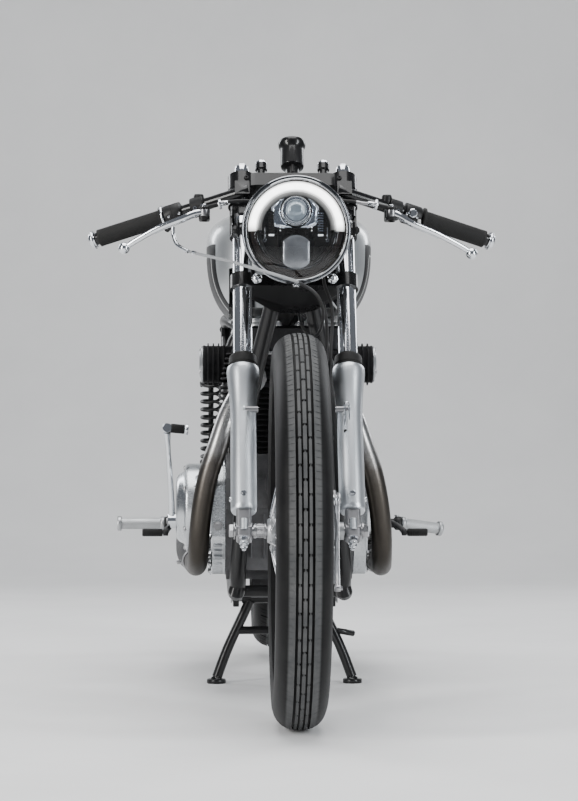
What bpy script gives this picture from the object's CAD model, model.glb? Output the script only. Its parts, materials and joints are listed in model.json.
import bpy, bmesh, math, random, json
from mathutils import Vector, Matrix, noise

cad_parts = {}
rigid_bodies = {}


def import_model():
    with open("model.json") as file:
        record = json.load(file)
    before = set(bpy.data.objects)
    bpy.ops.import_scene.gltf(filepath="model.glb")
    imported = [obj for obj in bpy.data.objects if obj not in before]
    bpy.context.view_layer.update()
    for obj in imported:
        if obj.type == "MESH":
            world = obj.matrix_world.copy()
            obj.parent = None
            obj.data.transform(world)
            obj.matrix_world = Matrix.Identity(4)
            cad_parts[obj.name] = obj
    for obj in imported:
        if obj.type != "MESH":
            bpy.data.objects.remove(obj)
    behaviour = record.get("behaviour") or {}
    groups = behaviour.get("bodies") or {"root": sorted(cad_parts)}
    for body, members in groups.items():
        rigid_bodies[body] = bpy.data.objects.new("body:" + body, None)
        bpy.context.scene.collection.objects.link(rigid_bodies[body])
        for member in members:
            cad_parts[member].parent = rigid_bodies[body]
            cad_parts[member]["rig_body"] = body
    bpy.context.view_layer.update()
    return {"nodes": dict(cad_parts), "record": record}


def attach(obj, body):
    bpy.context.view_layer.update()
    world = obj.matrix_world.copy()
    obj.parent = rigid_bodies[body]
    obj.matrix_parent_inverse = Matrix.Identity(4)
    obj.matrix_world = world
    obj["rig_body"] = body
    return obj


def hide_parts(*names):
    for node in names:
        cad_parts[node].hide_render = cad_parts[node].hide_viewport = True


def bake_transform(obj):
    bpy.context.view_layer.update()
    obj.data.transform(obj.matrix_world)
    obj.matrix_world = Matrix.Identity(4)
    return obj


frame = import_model()
MM = 0.001
rad = math.radians
rng = random.Random(7)

# ------------------------------------------------------------------ sizes, as in the part's source (millimetres)
FR, FW, RR, RW = 330.0, 90.0, 322.0, 110.0
YF, YR, ZR = -701.0, 709.0, 344.0
RAKE, LX, SR, FO = 27.0, 91.0, 17.0, 55.0
LAMP_Y, LAMP_Z = -602.0, 842.0
FORK = Matrix.Translation((0, YF, FR)) @ Matrix.Rotation(rad(-RAKE), 4, "X")
LAMP = Matrix.Translation((0, LAMP_Y, LAMP_Z)) @ Matrix.Rotation(rad(90), 4, "X")
FWHEEL = Matrix.Translation((0, YF, FR))
RWHEEL = Matrix.Translation((0, YR, ZR))
ALONG_X = Matrix.Rotation(rad(90), 4, "Y")          # local z to +X


# ------------------------------------------------------------------ camera, light and floor
def camera():
    yaw, dist, f_px, h = rad(2.0), 4.2, 2515.0, 0.48
    c = Vector((-math.sin(yaw) * dist, YF * MM - math.cos(yaw) * dist, h))
    cam = bpy.data.cameras.new("camera")
    cam.sensor_fit = "AUTO"
    cam.sensor_width = 36.0
    cam.lens = f_px / 801.0 * 36.0
    ob = bpy.data.objects.new("camera", cam)
    bpy.context.collection.objects.link(ob)
    turn = yaw - math.atan(9.5 / f_px)              # the front axle is 9.5 pixels right of the middle
    pitch = math.atan(40.5 / f_px)
    d = Vector((math.sin(turn) * math.cos(pitch), math.cos(turn) * math.cos(pitch), math.sin(pitch)))
    ob.location = c
    ob.rotation_euler = d.to_track_quat("-Z", "Y").to_euler()
    cam.clip_end = 60
    bpy.context.scene.camera = ob


def area(name, loc, target, size, power, color=(1, 1, 1), size_y=None):
    li = bpy.data.lights.new(name, "AREA")
    li.energy = power
    li.color = color
    li.size = size
    if size_y:
        li.shape = "RECTANGLE"
        li.size_y = size_y
    ob = bpy.data.objects.new(name, li)
    bpy.context.collection.objects.link(ob)
    ob.location = loc
    ob.rotation_euler = (Vector(target) - Vector(loc)).to_track_quat("-Z", "Y").to_euler()
    return ob


# ------------------------------------------------------------------ materials
class Mat:
    """Small wrapper: node sockets in, node sockets out. Lengths are in metres of the row frame."""

    def __init__(self, name):
        self.m = bpy.data.materials.new(name)
        self.m.use_nodes = True
        self.t = self.m.node_tree
        self.t.nodes.clear()
        self.out = self.n("ShaderNodeOutputMaterial")
        self.b = self.n("ShaderNodeBsdfPrincipled")
        self.t.links.new(self.b.outputs[0], self.out.inputs[0])
        self.co = self.n("ShaderNodeTexCoord").outputs["Object"]

    def n(self, kind, **kw):
        node = self.t.nodes.new(kind)
        for k, v in kw.items():
            setattr(node, k, v)
        return node

    def put(self, socket, value):
        if isinstance(value, bpy.types.NodeSocket):
            self.t.links.new(value, socket)
        else:
            socket.default_value = value

    def set(self, **kw):
        for k, v in kw.items():
            key = {"color": "Base Color", "metal": "Metallic", "rough": "Roughness", "coat": "Coat Weight", "coat_rough": "Coat Roughness",
                   "normal": "Normal", "coat_normal": "Coat Normal", "spec": "Specular IOR Level", "sheen": "Sheen Weight", "trans": "Transmission Weight", "ior": "IOR",
                   "alpha": "Alpha", "aniso": "Anisotropic", "emit": "Emission Color", "emit_power": "Emission Strength", "sheen_rough": "Sheen Roughness"}[k]
            if key in ("Base Color", "Emission Color") and isinstance(v, tuple) and len(v) == 3:
                v = (*v, 1)
            self.put(self.b.inputs[key], v)
        return self

    def scaled(self, v, s):
        n = self.n("ShaderNodeMapping")
        n.inputs["Scale"].default_value = s
        self.put(n.inputs["Vector"], v)
        return n.outputs[0]

    def noise(self, scale, detail=3.0, rough=0.5, v=None, distort=0.0):
        n = self.n("ShaderNodeTexNoise")
        self.put(n.inputs["Vector"], v or self.co)
        n.inputs["Scale"].default_value = scale
        n.inputs["Detail"].default_value = detail
        n.inputs["Roughness"].default_value = rough
        n.inputs["Distortion"].default_value = distort
        return n.outputs["Fac"]

    def cells(self, scale, v=None, feature="F1", out="Distance"):
        n = self.n("ShaderNodeTexVoronoi", feature=feature)
        self.put(n.inputs["Vector"], v or self.co)
        n.inputs["Scale"].default_value = scale
        return n.outputs[out]

    def span(self, x, a, b, c=0.0, d=1.0):
        n = self.n("ShaderNodeMapRange")
        self.put(n.inputs[0], x)
        for i, val in enumerate((a, b, c, d)):
            n.inputs[i + 1].default_value = val
        return n.outputs[0]

    def op(self, kind, a, b=0.0, c=0.0):
        n = self.n("ShaderNodeMath", operation=kind)
        self.put(n.inputs[0], a)
        self.put(n.inputs[1], b)
        if kind in ("MULTIPLY_ADD", "COMPARE", "WRAP"):
            self.put(n.inputs[2], c)
        return n.outputs[0]

    def mix(self, f, a, b):
        n = self.n("ShaderNodeMix", data_type="RGBA")
        self.put(n.inputs[0], f)
        self.put(n.inputs[6], (*a, 1) if isinstance(a, tuple) and len(a) == 3 else a)
        self.put(n.inputs[7], (*b, 1) if isinstance(b, tuple) and len(b) == 3 else b)
        return n.outputs[2]

    def ramp(self, f, stops):
        n = self.n("ShaderNodeValToRGB")
        e = n.color_ramp.elements
        while len(e) < len(stops):
            e.new(0.5)
        for k, (p, c) in enumerate(stops):
            e[k].position = p
            e[k].color = (*c, 1)
        self.put(n.inputs[0], f)
        return n.outputs[0]

    def xyz(self, v=None):
        n = self.n("ShaderNodeSeparateXYZ")
        self.put(n.inputs[0], v or self.co)
        return n.outputs

    def bump(self, height, strength=0.3, dist=0.001, normal=None):
        n = self.n("ShaderNodeBump")
        self.put(n.inputs["Height"], height)
        n.inputs["Strength"].default_value = strength
        n.inputs["Distance"].default_value = dist
        if normal is not None:
            self.put(n.inputs["Normal"], normal)
        return n.outputs[0]


def metal(name, base, rough, var=0.08, grain=0.0, grain_scale=900.0, dirt=0.0, dirt_col=(0.05, 0.045, 0.04), scratch=0.06, coat=0.0):
    """Metal with smudges, fine grain and some dirt in broad patches."""
    k = Mat(name)
    smudge = k.noise(26, 5, 0.6)
    fine = k.noise(grain_scale, 2, 0.6)
    streak = k.noise(160, 4, 0.7, k.scaled(k.co, (1, 1, 9)))
    col = k.mix(k.span(smudge, 0.35, 0.7), base, tuple(c * (1 - 1.2 * var) for c in base))
    if dirt:
        patch = k.span(k.op("MULTIPLY", k.noise(11, 6, 0.7), k.span(fine, 0.3, 0.7, 0.7, 1.0)), 0.40, 0.62)
        col = k.mix(k.op("MULTIPLY", patch, dirt), col, dirt_col)
    r = k.op("ADD", k.span(smudge, 0.3, 0.75, rough * 0.75, rough * 1.35), k.span(streak, 0.5, 0.8, 0.0, 0.10))
    if dirt:
        r = k.op("ADD", r, k.op("MULTIPLY", patch, dirt * 0.4))
    nrm = k.bump(streak, scratch, 0.0003)
    if grain:
        nrm = k.bump(fine, grain, 0.0006, nrm)
    k.set(color=col, metal=1.0, rough=r, normal=nrm, coat=coat)
    return k.m


def satin(name, base, rough):
    """Smooth machined alloy: broad soft smears and very faint turning lines, no grain."""
    k = Mat(name)
    smear = k.noise(9, 3, 0.5)
    turn = k.noise(700, 2, 0.5, k.scaled(k.co, (0.03, 0.03, 1)))
    col = k.mix(k.span(smear, 0.35, 0.7), base, tuple(c * 0.93 for c in base))
    col = k.mix(k.span(turn, 0.45, 0.8, 0.0, 0.10), col, tuple(c * 0.8 for c in base))
    k.set(color=col, metal=1.0, rough=k.span(smear, 0.3, 0.7, rough, rough + 0.05))
    return k.m


def paint(name, base, rough=0.3, coat=0.8, peel=0.03, dust=0.25, flake=0.0):
    """Paint with a faint orange peel under clear coat, and dust that settles in broad patches."""
    k = Mat(name)
    wave = k.noise(240, 2, 0.5)
    patch = k.span(k.noise(9, 6, 0.65), 0.45, 0.75)
    speck = k.span(k.noise(1500, 1, 0.5), 0.62, 0.75)
    grey = tuple(min(1, c + 0.05) for c in base)
    col = k.mix(k.op("MULTIPLY", patch, dust), base, grey)
    col = k.mix(k.op("MULTIPLY", speck, 0.5 * dust), col, tuple(min(1, c + 0.12) for c in base))
    k.set(color=col, spec=0.25, rough=k.span(patch, 0, 1, rough, rough + 0.18), coat=coat, coat_rough=k.span(patch, 0, 1, 0.04, 0.16),
          normal=k.bump(wave, peel, 0.0005), coat_normal=k.bump(wave, peel * 0.8, 0.0005))
    if flake:
        spark = k.cells(2600, out="Color")
        s = k.n("ShaderNodeSeparateColor")
        k.put(s.inputs[0], spark)
        v = k.span(s.outputs[0], 0.0, 1.0, 0.75, 1.2)
        mul = k.n("ShaderNodeVectorMath", operation="SCALE")
        k.put(mul.inputs[0], col)
        k.put(mul.inputs["Scale"], v)
        k.set(color=mul.outputs[0], metal=flake)
    return k.m


def rubber(name, base=(0.022, 0.022, 0.023), rough=0.62, grain=0.25, dust=0.3):
    k = Mat(name)
    g = k.noise(1400, 3, 0.6)
    p = k.span(k.noise(14, 6, 0.7), 0.42, 0.72)
    col = k.mix(k.op("MULTIPLY", p, dust), base, (0.085, 0.08, 0.075))
    k.set(color=col, rough=k.span(p, 0, 1, rough, min(0.95, rough + 0.2)), normal=k.bump(g, grain, 0.0004), spec=0.22)
    return k.m


def tyre_mat(name, centre, crown):
    """Tyre rubber: the worn crown is lighter and dusty, the sidewall is darker with a faint bloom. centre is the wheel's centre."""
    k = Mat(name)
    mv = k.n("ShaderNodeVectorMath", operation="SUBTRACT")
    k.put(mv.inputs[0], k.co)
    mv.inputs[1].default_value = [c * MM for c in centre]
    o = k.xyz(mv.outputs[0])
    r = k.op("SQRT", k.op("ADD", k.op("MULTIPLY", o[1], o[1]), k.op("MULTIPLY", o[2], o[2])))
    lift = k.op("ADD", r, k.op("DIVIDE", k.op("MULTIPLY", o[0], o[0]), 0.124))
    top = k.op("MULTIPLY", k.span(lift, (crown - 3.4) * MM, (crown - 0.9) * MM), k.span(k.op("ABSOLUTE", o[0]), 0.0270, 0.0235))
    speck = k.noise(900, 4, 0.7)
    blotch = k.noise(18, 6, 0.7)
    worn = k.mix(k.span(blotch, 0.35, 0.7), (0.050, 0.052, 0.054), (0.090, 0.091, 0.091))
    side = k.mix(k.span(blotch, 0.4, 0.75), (0.006, 0.006, 0.0065), (0.012, 0.012, 0.012))
    col = k.mix(top, side, worn)
    col = k.mix(k.op("MULTIPLY", k.span(speck, 0.6, 0.75), k.span(top, 0, 1, 0.06, 0.35)), col, (0.16, 0.155, 0.15))
    k.set(color=col, rough=k.span(top, 0, 1, 0.50, 0.82), normal=k.bump(speck, 0.25, 0.0005), spec=k.span(top, 0, 1, 0.10, 0.30))
    return k.m


def build_materials():
    m = {}
    m["frame_black"] = paint("mat_frame_black", (0.006, 0.006, 0.0065), 0.35, 0.25, 0.05, 0.06)
    m["black_gloss"] = paint("mat_black_gloss", (0.005, 0.005, 0.0055), 0.25, 0.35, 0.02, 0.05)
    m["black_satin"] = paint("mat_black_satin", (0.008, 0.008, 0.0085), 0.45, 0.05, 0.08, 0.08)
    m["chrome"] = metal("mat_chrome", (0.78, 0.80, 0.83), 0.07, 0.05, 0, scratch=0.02)
    m["steel"] = metal("mat_steel", (0.46, 0.46, 0.47), 0.30, 0.15, 0.05, 1200, 0.25)
    m["chain_steel"] = metal("mat_chain_steel", (0.22, 0.20, 0.18), 0.38, 0.3, 0.1, 1500, 0.5)
    m["alloy"] = metal("mat_alloy", (0.46, 0.47, 0.48), 0.36, 0.12, 0.10, 1300, 0.20)
    m["cast_dark"] = metal("mat_cast_dark", (0.035, 0.035, 0.037), 0.50, 0.3, 0.25, 1500, 0.2, (0.07, 0.065, 0.06))
    m["engine_dark"] = m["cast_dark"]
    m["polished_alloy"] = metal("mat_polished_alloy", (0.60, 0.62, 0.64), 0.25, 0.08, 0, 1700, 0.06, scratch=0.05)
    m["fork_alloy"] = satin("mat_fork_alloy", (0.66, 0.69, 0.72), 0.33)
    m["rim_chrome"] = metal("mat_rim_chrome", (0.36, 0.37, 0.385), 0.10, 0.06, 0, scratch=0.02)
    m["spring_black"] = paint("mat_spring_black", (0.006, 0.006, 0.0065), 0.35, 0.2, 0.03, 0.08)
    m["alloy_dark"] = metal("mat_alloy_dark", (0.30, 0.30, 0.31), 0.34, 0.15, 0.05, 1500, 0.15)
    m["filter_black"] = rubber("mat_filter_black", (0.008, 0.008, 0.008), 0.7, 0.4, 0.08)
    m["rubber_black"] = rubber("mat_rubber_black", (0.009, 0.009, 0.009), 0.50, 0.3, 0.08)
    m["cable_black"] = rubber("mat_cable_black", (0.013, 0.013, 0.014), 0.42, 0.12, 0.2)
    m["dial_face"] = paint("mat_dial_face", (0.012, 0.012, 0.013), 0.5, 0.0, 0.02, 0.1)
    m["dial_mark"] = paint("mat_dial_mark", (0.62, 0.62, 0.60), 0.5, 0.0, 0.02, 0.1)
    m["spring_steel"] = metal("mat_spring", (0.70, 0.71, 0.73), 0.14, 0.1, 0, scratch=0.03)
    m["tyre_front"] = tyre_mat("mat_tyre_front", (0, YF, FR), FR)
    m["tyre_rear"] = tyre_mat("mat_tyre_rear", (0, YR, ZR), RR)
    m["silver_paint"] = silver_paint()
    m["pipe_steel"] = pipe_steel()
    m["seat_leather"] = seat_leather()
    m["red_lens"] = red_lens()
    m["clear_glass"] = clear_glass()
    m["lamp_inner"] = paint("mat_lamp_inner", (0.020, 0.018, 0.016), 0.25, 0.6, 0.05, 0.1)
    m["lamp_reflector"] = metal("mat_lamp_reflector", (0.62, 0.66, 0.72), 0.16, 0.15, 0, scratch=0.03)
    m["lamp_guide_off"] = paint("mat_lamp_guide_off", (0.022, 0.014, 0.010), 0.12, 0.9, 0.02, 0.05)
    m["lamp_lens_clear"] = lamp_lens("mat_lamp_lens_clear", (0.60, 0.70, 0.78), 0.10)
    m["lamp_lens_grey"] = lamp_lens("mat_lamp_lens_grey", (0.36, 0.37, 0.39), 0.22)
    m["lamp_on"] = lit_ring()
    m["lamp_chip"] = glow("mat_lamp_chip", (0.95, 0.98, 1.0), 1.2)
    return m


def glow(name, col, power):
    k = Mat(name)
    f = k.noise(120, 2, 0.5)
    k.set(color=(0.8, 0.8, 0.8), rough=0.4, emit=col, emit_power=k.span(f, 0.3, 0.7, power * 0.9, power * 1.1))
    return k.m


def lit_ring():
    """Light guide of the lamp: brightest along its middle, fading to both edges and at its two ends."""
    k = Mat("mat_lamp_on")
    o = k.xyz()
    dz = k.op("SUBTRACT", o[2], LAMP_Z * MM)
    r = k.op("SQRT", k.op("ADD", k.op("MULTIPLY", o[0], o[0]), k.op("MULTIPLY", dz, dz)))
    off = k.op("ABSOLUTE", k.op("SUBTRACT", r, 0.0752))
    core = k.ramp(k.span(off, 0.0, 0.016), [(0.0, (1, 1, 1)), (0.28, (0.92, 0.92, 0.92)), (0.45, (0.30, 0.30, 0.30)), (0.62, (0.06, 0.06, 0.06)), (1.0, (0.0, 0.0, 0.0))])
    ends = k.span(dz, -0.006, 0.010, 0.0, 1.0)
    wob = k.span(k.noise(120, 2, 0.5), 0.3, 0.7, 0.92, 1.08)
    k.set(color=(0.05, 0.048, 0.045), rough=0.25, coat=0.8, emit=(1.0, 0.985, 0.955), emit_power=k.op("MULTIPLY", k.op("MULTIPLY", core, 7.5), k.op("MULTIPLY", ends, wob)))
    return k.m


def lamp_lens(name, col, rough):
    k = Mat(name)
    f = k.noise(60, 3, 0.5)
    k.set(color=k.mix(k.span(f, 0.3, 0.7), col, tuple(c * 0.7 for c in col)), rough=rough, metal=0.35, coat=1.0, coat_rough=0.03, normal=k.bump(f, 0.15, 0.001))
    return k.m


def clear_glass():
    """Thin lens: mostly see-through, with a coat that reflects and a few dust specks."""
    k = Mat("mat_clear_glass")
    g = k.n("ShaderNodeBsdfGlossy")
    g.inputs["Roughness"].default_value = 0.02
    tr = k.n("ShaderNodeBsdfTransparent")
    tr.inputs[0].default_value = (0.96, 0.97, 0.98, 1)
    mx = k.n("ShaderNodeMixShader")
    fr = k.n("ShaderNodeFresnel")
    fr.inputs[0].default_value = 1.45
    dust = k.span(k.noise(700, 4, 0.7), 0.62, 0.8, 0.0, 0.05)
    k.put(mx.inputs[0], k.op("ADD", k.op("MULTIPLY", fr.outputs[0], 0.8), dust))
    k.t.links.new(tr.outputs[0], mx.inputs[1])
    k.t.links.new(g.outputs[0], mx.inputs[2])
    k.t.links.new(mx.outputs[0], k.out.inputs[0])
    k.t.nodes.remove(k.b)
    return k.m


def red_lens():
    k = Mat("mat_red_lens")
    rib = k.cells(260)
    k.set(color=k.mix(k.span(rib, 0, 0.6), (0.40, 0.012, 0.010), (0.16, 0.004, 0.004)), rough=0.16, coat=1.0, coat_rough=0.04, normal=k.bump(rib, 0.5, 0.001))
    return k.m


def seat_leather():
    k = Mat("mat_seat_leather")
    crease = k.cells(420, feature="DISTANCE_TO_EDGE")
    big = k.noise(30, 5, 0.6)
    fine = k.noise(1500, 2, 0.6)
    h = k.op("ADD", k.op("MULTIPLY", k.span(crease, 0.0, 0.16), 0.7), k.op("MULTIPLY", fine, 0.3))
    col = k.mix(k.span(big, 0.35, 0.7), (0.016, 0.014, 0.013), (0.034, 0.030, 0.028))
    k.set(color=k.mix(k.span(crease, 0.0, 0.08), (0.008, 0.007, 0.007), col), rough=k.span(big, 0.3, 0.7, 0.42, 0.6), normal=k.bump(h, 0.35, 0.0006), spec=0.45, sheen=0.05)
    return k.m


def silver_paint():
    """Silver-grey metallic under clear coat; on the tank's flanks a darker panel with a thin light line round it."""
    k = Mat("mat_silver_paint")
    o = k.xyz()
    wave = k.noise(200, 2, 0.5)
    flake = k.cells(2400, out="Color")
    s = k.n("ShaderNodeSeparateColor")
    k.put(s.inputs[0], flake)
    tone = k.noise(7, 4, 0.5)
    base = k.mix(k.span(tone, 0.3, 0.7), (0.40, 0.42, 0.43), (0.47, 0.49, 0.50))
    base = k.mix(k.span(s.outputs[0], 0.0, 1.0, 0.0, 0.35), base, (0.66, 0.68, 0.70))
    # flank panel: a rounded box in Y and Z on the outer side of the tank
    ax = k.op("ABSOLUTE", o[0])
    dy = k.op("SUBTRACT", k.op("ABSOLUTE", k.op("ADD", o[1], 0.085)), 0.181)
    dz = k.op("SUBTRACT", k.op("ABSOLUTE", k.op("SUBTRACT", o[2], 0.765)), 0.074)
    q = k.op("SQRT", k.op("ADD", k.op("POWER", k.op("MAXIMUM", dy, 0.0), 2.0), k.op("POWER", k.op("MAXIMUM", dz, 0.0), 2.0)))
    dist = k.op("SUBTRACT", q, 0.004)
    ey = k.op("ADD", dy, 0.030)
    ez = k.op("ADD", dz, 0.026)
    q2 = k.op("SQRT", k.op("ADD", k.op("POWER", k.op("MAXIMUM", ey, 0.0), 2.0), k.op("POWER", k.op("MAXIMUM", ez, 0.0), 2.0)))
    rim = k.op("SUBTRACT", q2, 0.012)
    side = k.span(ax, 0.060, 0.066)
    inside = k.op("MULTIPLY", k.span(dist, 0.0, -0.0005), side)
    line = k.op("MULTIPLY", k.op("MULTIPLY", k.span(rim, -0.0024, -0.0018), k.span(rim, 0.0006, 0.0)), side)
    col = k.mix(inside, base, (0.005, 0.005, 0.006))
    col = k.mix(line, col, (0.70, 0.71, 0.70))
    k.set(color=col, metal=k.span(inside, 0, 1, 0.72, 0.0), spec=k.span(inside, 0, 1, 0.5, 0.12), rough=k.span(tone, 0.3, 0.7, 0.30, 0.38), coat=k.span(inside, 0, 1, 0.8, 0.0), coat_rough=0.06,
          normal=k.bump(wave, 0.02, 0.0005), coat_normal=k.bump(wave, 0.03, 0.0005))
    return k.m


def pipe_steel():
    """Exhaust pipe: polished at the top bend, brown and straw heat tint lower down, dull with road dirt near the floor."""
    k = Mat("mat_pipe_steel")
    o = k.xyz()
    wob = k.noise(16, 5, 0.65)
    z = k.op("ADD", o[2], k.span(wob, 0.2, 0.8, -0.045, 0.045))
    t = k.span(z, 0.24, 0.62)
    col = k.ramp(t, [(0.0, (0.050, 0.045, 0.040)), (0.35, (0.070, 0.063, 0.055)), (0.52, (0.11, 0.10, 0.092)), (0.66, (0.38, 0.375, 0.37)), (1.0, (0.62, 0.62, 0.62))])
    fine = k.noise(1100, 3, 0.6)
    streak = k.noise(120, 5, 0.7, k.scaled(k.co, (1, 1, 6)))
    col = k.mix(k.span(streak, 0.5, 0.75, 0.0, 0.35), col, (0.06, 0.05, 0.042))
    k.set(color=col, metal=1.0, rough=k.op("ADD", k.ramp(t, [(0.0, (0.42,) * 3), (0.6, (0.32,) * 3), (1.0, (0.15,) * 3)]), k.span(streak, 0.4, 0.8, 0.0, 0.12)),
          normal=k.bump(fine, 0.06, 0.0004))
    return k.m


# ------------------------------------------------------------------ shapes (millimetres)
class Build:
    """Collects shapes into one mesh. Each shape takes a matrix and a material number."""

    def __init__(self):
        self.v, self.f, self.mi = [], [], []
        self.tag = []

    def add(self, verts, faces, mat=0, m=None):
        n = len(self.v)
        self.v += [tuple(m @ Vector(p)) if m is not None else tuple(p) for p in verts]
        self.f += [[i + n for i in f] for f in faces]
        self.mi += [mat] * len(faces)
        return self

    def both(self, fn):
        """Calls fn with a fresh Build and adds it and its mirror image in X."""
        b = Build()
        fn(b)
        self.add(b.v, b.f, 0)
        self.mi[-len(b.f):] = b.mi
        self.add([(-x, y, z) for x, y, z in b.v], [f[::-1] for f in b.f], 0)
        self.mi[-len(b.f):] = b.mi
        return self

    def lathe(self, prof, m=None, mat=0, n=48, closed=False, a0=0.0, a1=360.0):
        """Turns a profile of (radius, height) round local z."""
        full = abs(a1 - a0) >= 359.9
        steps = n if full else n + 1
        v, f = [], []
        for i in range(steps):
            a = rad(a0 + (a1 - a0) * i / n)
            for r, h in prof:
                v.append((r * math.cos(a), r * math.sin(a), h))
        c = len(prof)
        for i in range(n):
            j = (i + 1) % steps
            for k in range(c if closed else c - 1):
                k2 = (k + 1) % c
                p = [i * c + k, j * c + k, j * c + k2, i * c + k2]
                if prof[k][0] < 1e-6 and prof[k2][0] < 1e-6:
                    continue
                if prof[k][0] < 1e-6:
                    p = [p[0], p[2], p[3]]
                elif prof[k2][0] < 1e-6:
                    p = [p[0], p[1], p[2]]
                f.append(p)
        return self.add(v, f, mat, m)

    def rod(self, p, q, r, mat=0, n=20, r2=None, ch=0.0):
        """Round bar from p to q with chamfered ends."""
        p, q = Vector(p), Vector(q)
        d = q - p
        l = d.length
        m = Matrix.Translation(p) @ d.to_track_quat("Z", "Y").to_matrix().to_4x4()
        r2 = r if r2 is None else r2
        c = min(ch, r * 0.5, l * 0.4)
        prof = [(0, 0), (r - c, 0), (r, c), (r2, l - c), (r2 - c, l), (0, l)] if c > 0 else [(0, 0), (r, 0), (r2, l), (0, l)]
        return self.lathe(prof, m, mat, n)

    def ring(self, p, axis, r, t, mat=0, n=40, k=10):
        """Torus of radius r and tube t about axis."""
        m = Matrix.Translation(Vector(p)) @ Vector(axis).to_track_quat("Z", "Y").to_matrix().to_4x4()
        prof = [(r + t * math.cos(2 * math.pi * i / k), t * math.sin(2 * math.pi * i / k)) for i in range(k)]
        return self.lathe(prof, m, mat, n, closed=True)

    def tube(self, path, r, mat=0, n=12, caps=True, flat=None):
        """Tube along a path. r is a number or one per point; flat squeezes the section to (a, b) times r."""
        path = [Vector(p) for p in path]
        c = len(path)
        rs = r if isinstance(r, (list, tuple)) else [r] * c
        tan = [(path[min(i + 1, c - 1)] - path[max(i - 1, 0)]).normalized() for i in range(c)]
        u = tan[0].cross(Vector((0, 0, 1)) if abs(tan[0].z) < 0.9 else Vector((0, 1, 0))).normalized()
        v, f = [], []
        for i in range(c):
            u = (u - tan[i] * u.dot(tan[i])).normalized()
            w = tan[i].cross(u)
            for k in range(n):
                a = 2 * math.pi * k / n
                x, y = math.cos(a), math.sin(a)
                if flat:
                    x, y = x * flat[0], y * flat[1]
                v.append(path[i] + (u * x + w * y) * rs[i])
        for i in range(c - 1):
            for k in range(n):
                a, b = i * n + k, i * n + (k + 1) % n
                f.append([a, b, b + n, a + n])
        if caps:
            f.append(list(range(n))[::-1])
            f.append([(c - 1) * n + k for k in range(n)])
        return self.add(v, f, mat)

    def prism(self, outline, h, m=None, mat=0, ch=0.0):
        """Extrudes an outline (counter-clockwise, local x and y) by h along local z, with chamfered edges."""
        c = len(outline)
        if ch > 0:
            ins = inset(outline, ch)
            rings = [(ins, 0), (outline, ch), (outline, h - ch), (ins, h)]
        else:
            rings = [(outline, 0), (outline, h)]
        v = [(x, y, z) for o, z in rings for x, y in o]
        f = [list(range(c))[::-1], [(len(rings) - 1) * c + k for k in range(c)]]
        for i in range(len(rings) - 1):
            for k in range(c):
                a, b = i * c + k, i * c + (k + 1) % c
                f.append([a, b, b + c, a + c])
        return self.add(v, f, mat, m)

    def block(self, lo, hi, m=None, mat=0, ch=1.0, rnd=0.0):
        """Box from lo to hi with chamfered edges, and corners rounded in plan if rnd is set."""
        x0, y0, z0 = lo
        x1, y1, z1 = hi
        o = [(x0, y0), (x1, y0), (x1, y1), (x0, y1)]
        if rnd:
            o = rounded(o, rnd)
        mm = (m or Matrix.Identity(4)) @ Matrix.Translation((0, 0, z0))
        return self.prism(o, z1 - z0, mm, mat, ch)

    def hexnut(self, p, axis, r, h, mat=0, washer=True, dome=0.0):
        """Hexagon head on a washer, standing out along axis."""
        m = Matrix.Translation(Vector(p)) @ Vector(axis).to_track_quat("Z", "Y").to_matrix().to_4x4()
        z = 0
        if washer:
            self.lathe([(0, 0), (r * 1.22, 0), (r * 1.22, r * 0.16), (0, r * 0.16)], m, mat, 20)
            z = r * 0.16
        o = [(r * math.cos(rad(60 * k + 7)), r * math.sin(rad(60 * k + 7))) for k in range(6)]
        self.prism(o, h, m @ Matrix.Translation((0, 0, z)), mat, r * 0.1)
        if dome:
            self.lathe([(r * 0.62, z + h - 0.1), (r * 0.6, z + h + dome * 0.6), (r * 0.4, z + h + dome * 0.9), (0, z + h + dome)], m, mat, 16)
        return self

    def cap(self, p, axis, r, h, mat=0, dark=None):
        """Socket cap screw with a recess."""
        m = Matrix.Translation(Vector(p)) @ Vector(axis).to_track_quat("Z", "Y").to_matrix().to_4x4()
        self.lathe([(0, 0), (r, 0), (r, h * 0.85), (r * 0.9, h), (r * 0.5, h), (r * 0.48, h * 0.45), (0, h * 0.45)], m, mat, 18)
        return self

    def screw(self, p, axis, r, h, mat=0):
        """Round-head screw with a cross recess hinted by a dimple."""
        m = Matrix.Translation(Vector(p)) @ Vector(axis).to_track_quat("Z", "Y").to_matrix().to_4x4()
        self.lathe([(0, 0), (r, 0), (r * 0.97, h * 0.45), (r * 0.75, h * 0.85), (r * 0.34, h), (r * 0.2, h * 0.55), (0, h * 0.5)], m, mat, 16)
        return self

    def done(self, name, body, mats, replaces=(), angle=38, bevel=0.0, segs=2, subsurf=0, smooth=True, weld=False):
        me = bpy.data.meshes.new(name)
        me.from_pydata([(x * MM, y * MM, z * MM) for x, y, z in self.v], [], self.f)
        for k in (mats if isinstance(mats, (list, tuple)) else [mats]):
            me.materials.append(MATS[k])
        me.polygons.foreach_set("material_index", self.mi)
        if weld:
            bm = bmesh.new()
            bm.from_mesh(me)
            bmesh.ops.remove_doubles(bm, verts=bm.verts, dist=0.00002)
            bmesh.ops.recalc_face_normals(bm, faces=bm.faces)
            bm.to_mesh(me)
            bm.free()
        me.validate()
        ob = bpy.data.objects.new(name, me)
        bpy.context.collection.objects.link(ob)
        me.polygons.foreach_set("use_smooth", [smooth] * len(me.polygons))
        if smooth and not subsurf:
            me.set_sharp_from_angle(angle=rad(angle))
        if bevel:
            b = ob.modifiers.new("bevel", "BEVEL")
            b.width = bevel * MM
            b.segments = segs
            b.limit_method = "ANGLE"
            b.angle_limit = rad(35)
            b.harden_normals = True
        if subsurf:
            s = ob.modifiers.new("subsurf", "SUBSURF")
            s.levels = s.render_levels = subsurf
        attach(ob, body)
        if replaces:
            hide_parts(*replaces)
        return ob


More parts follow.
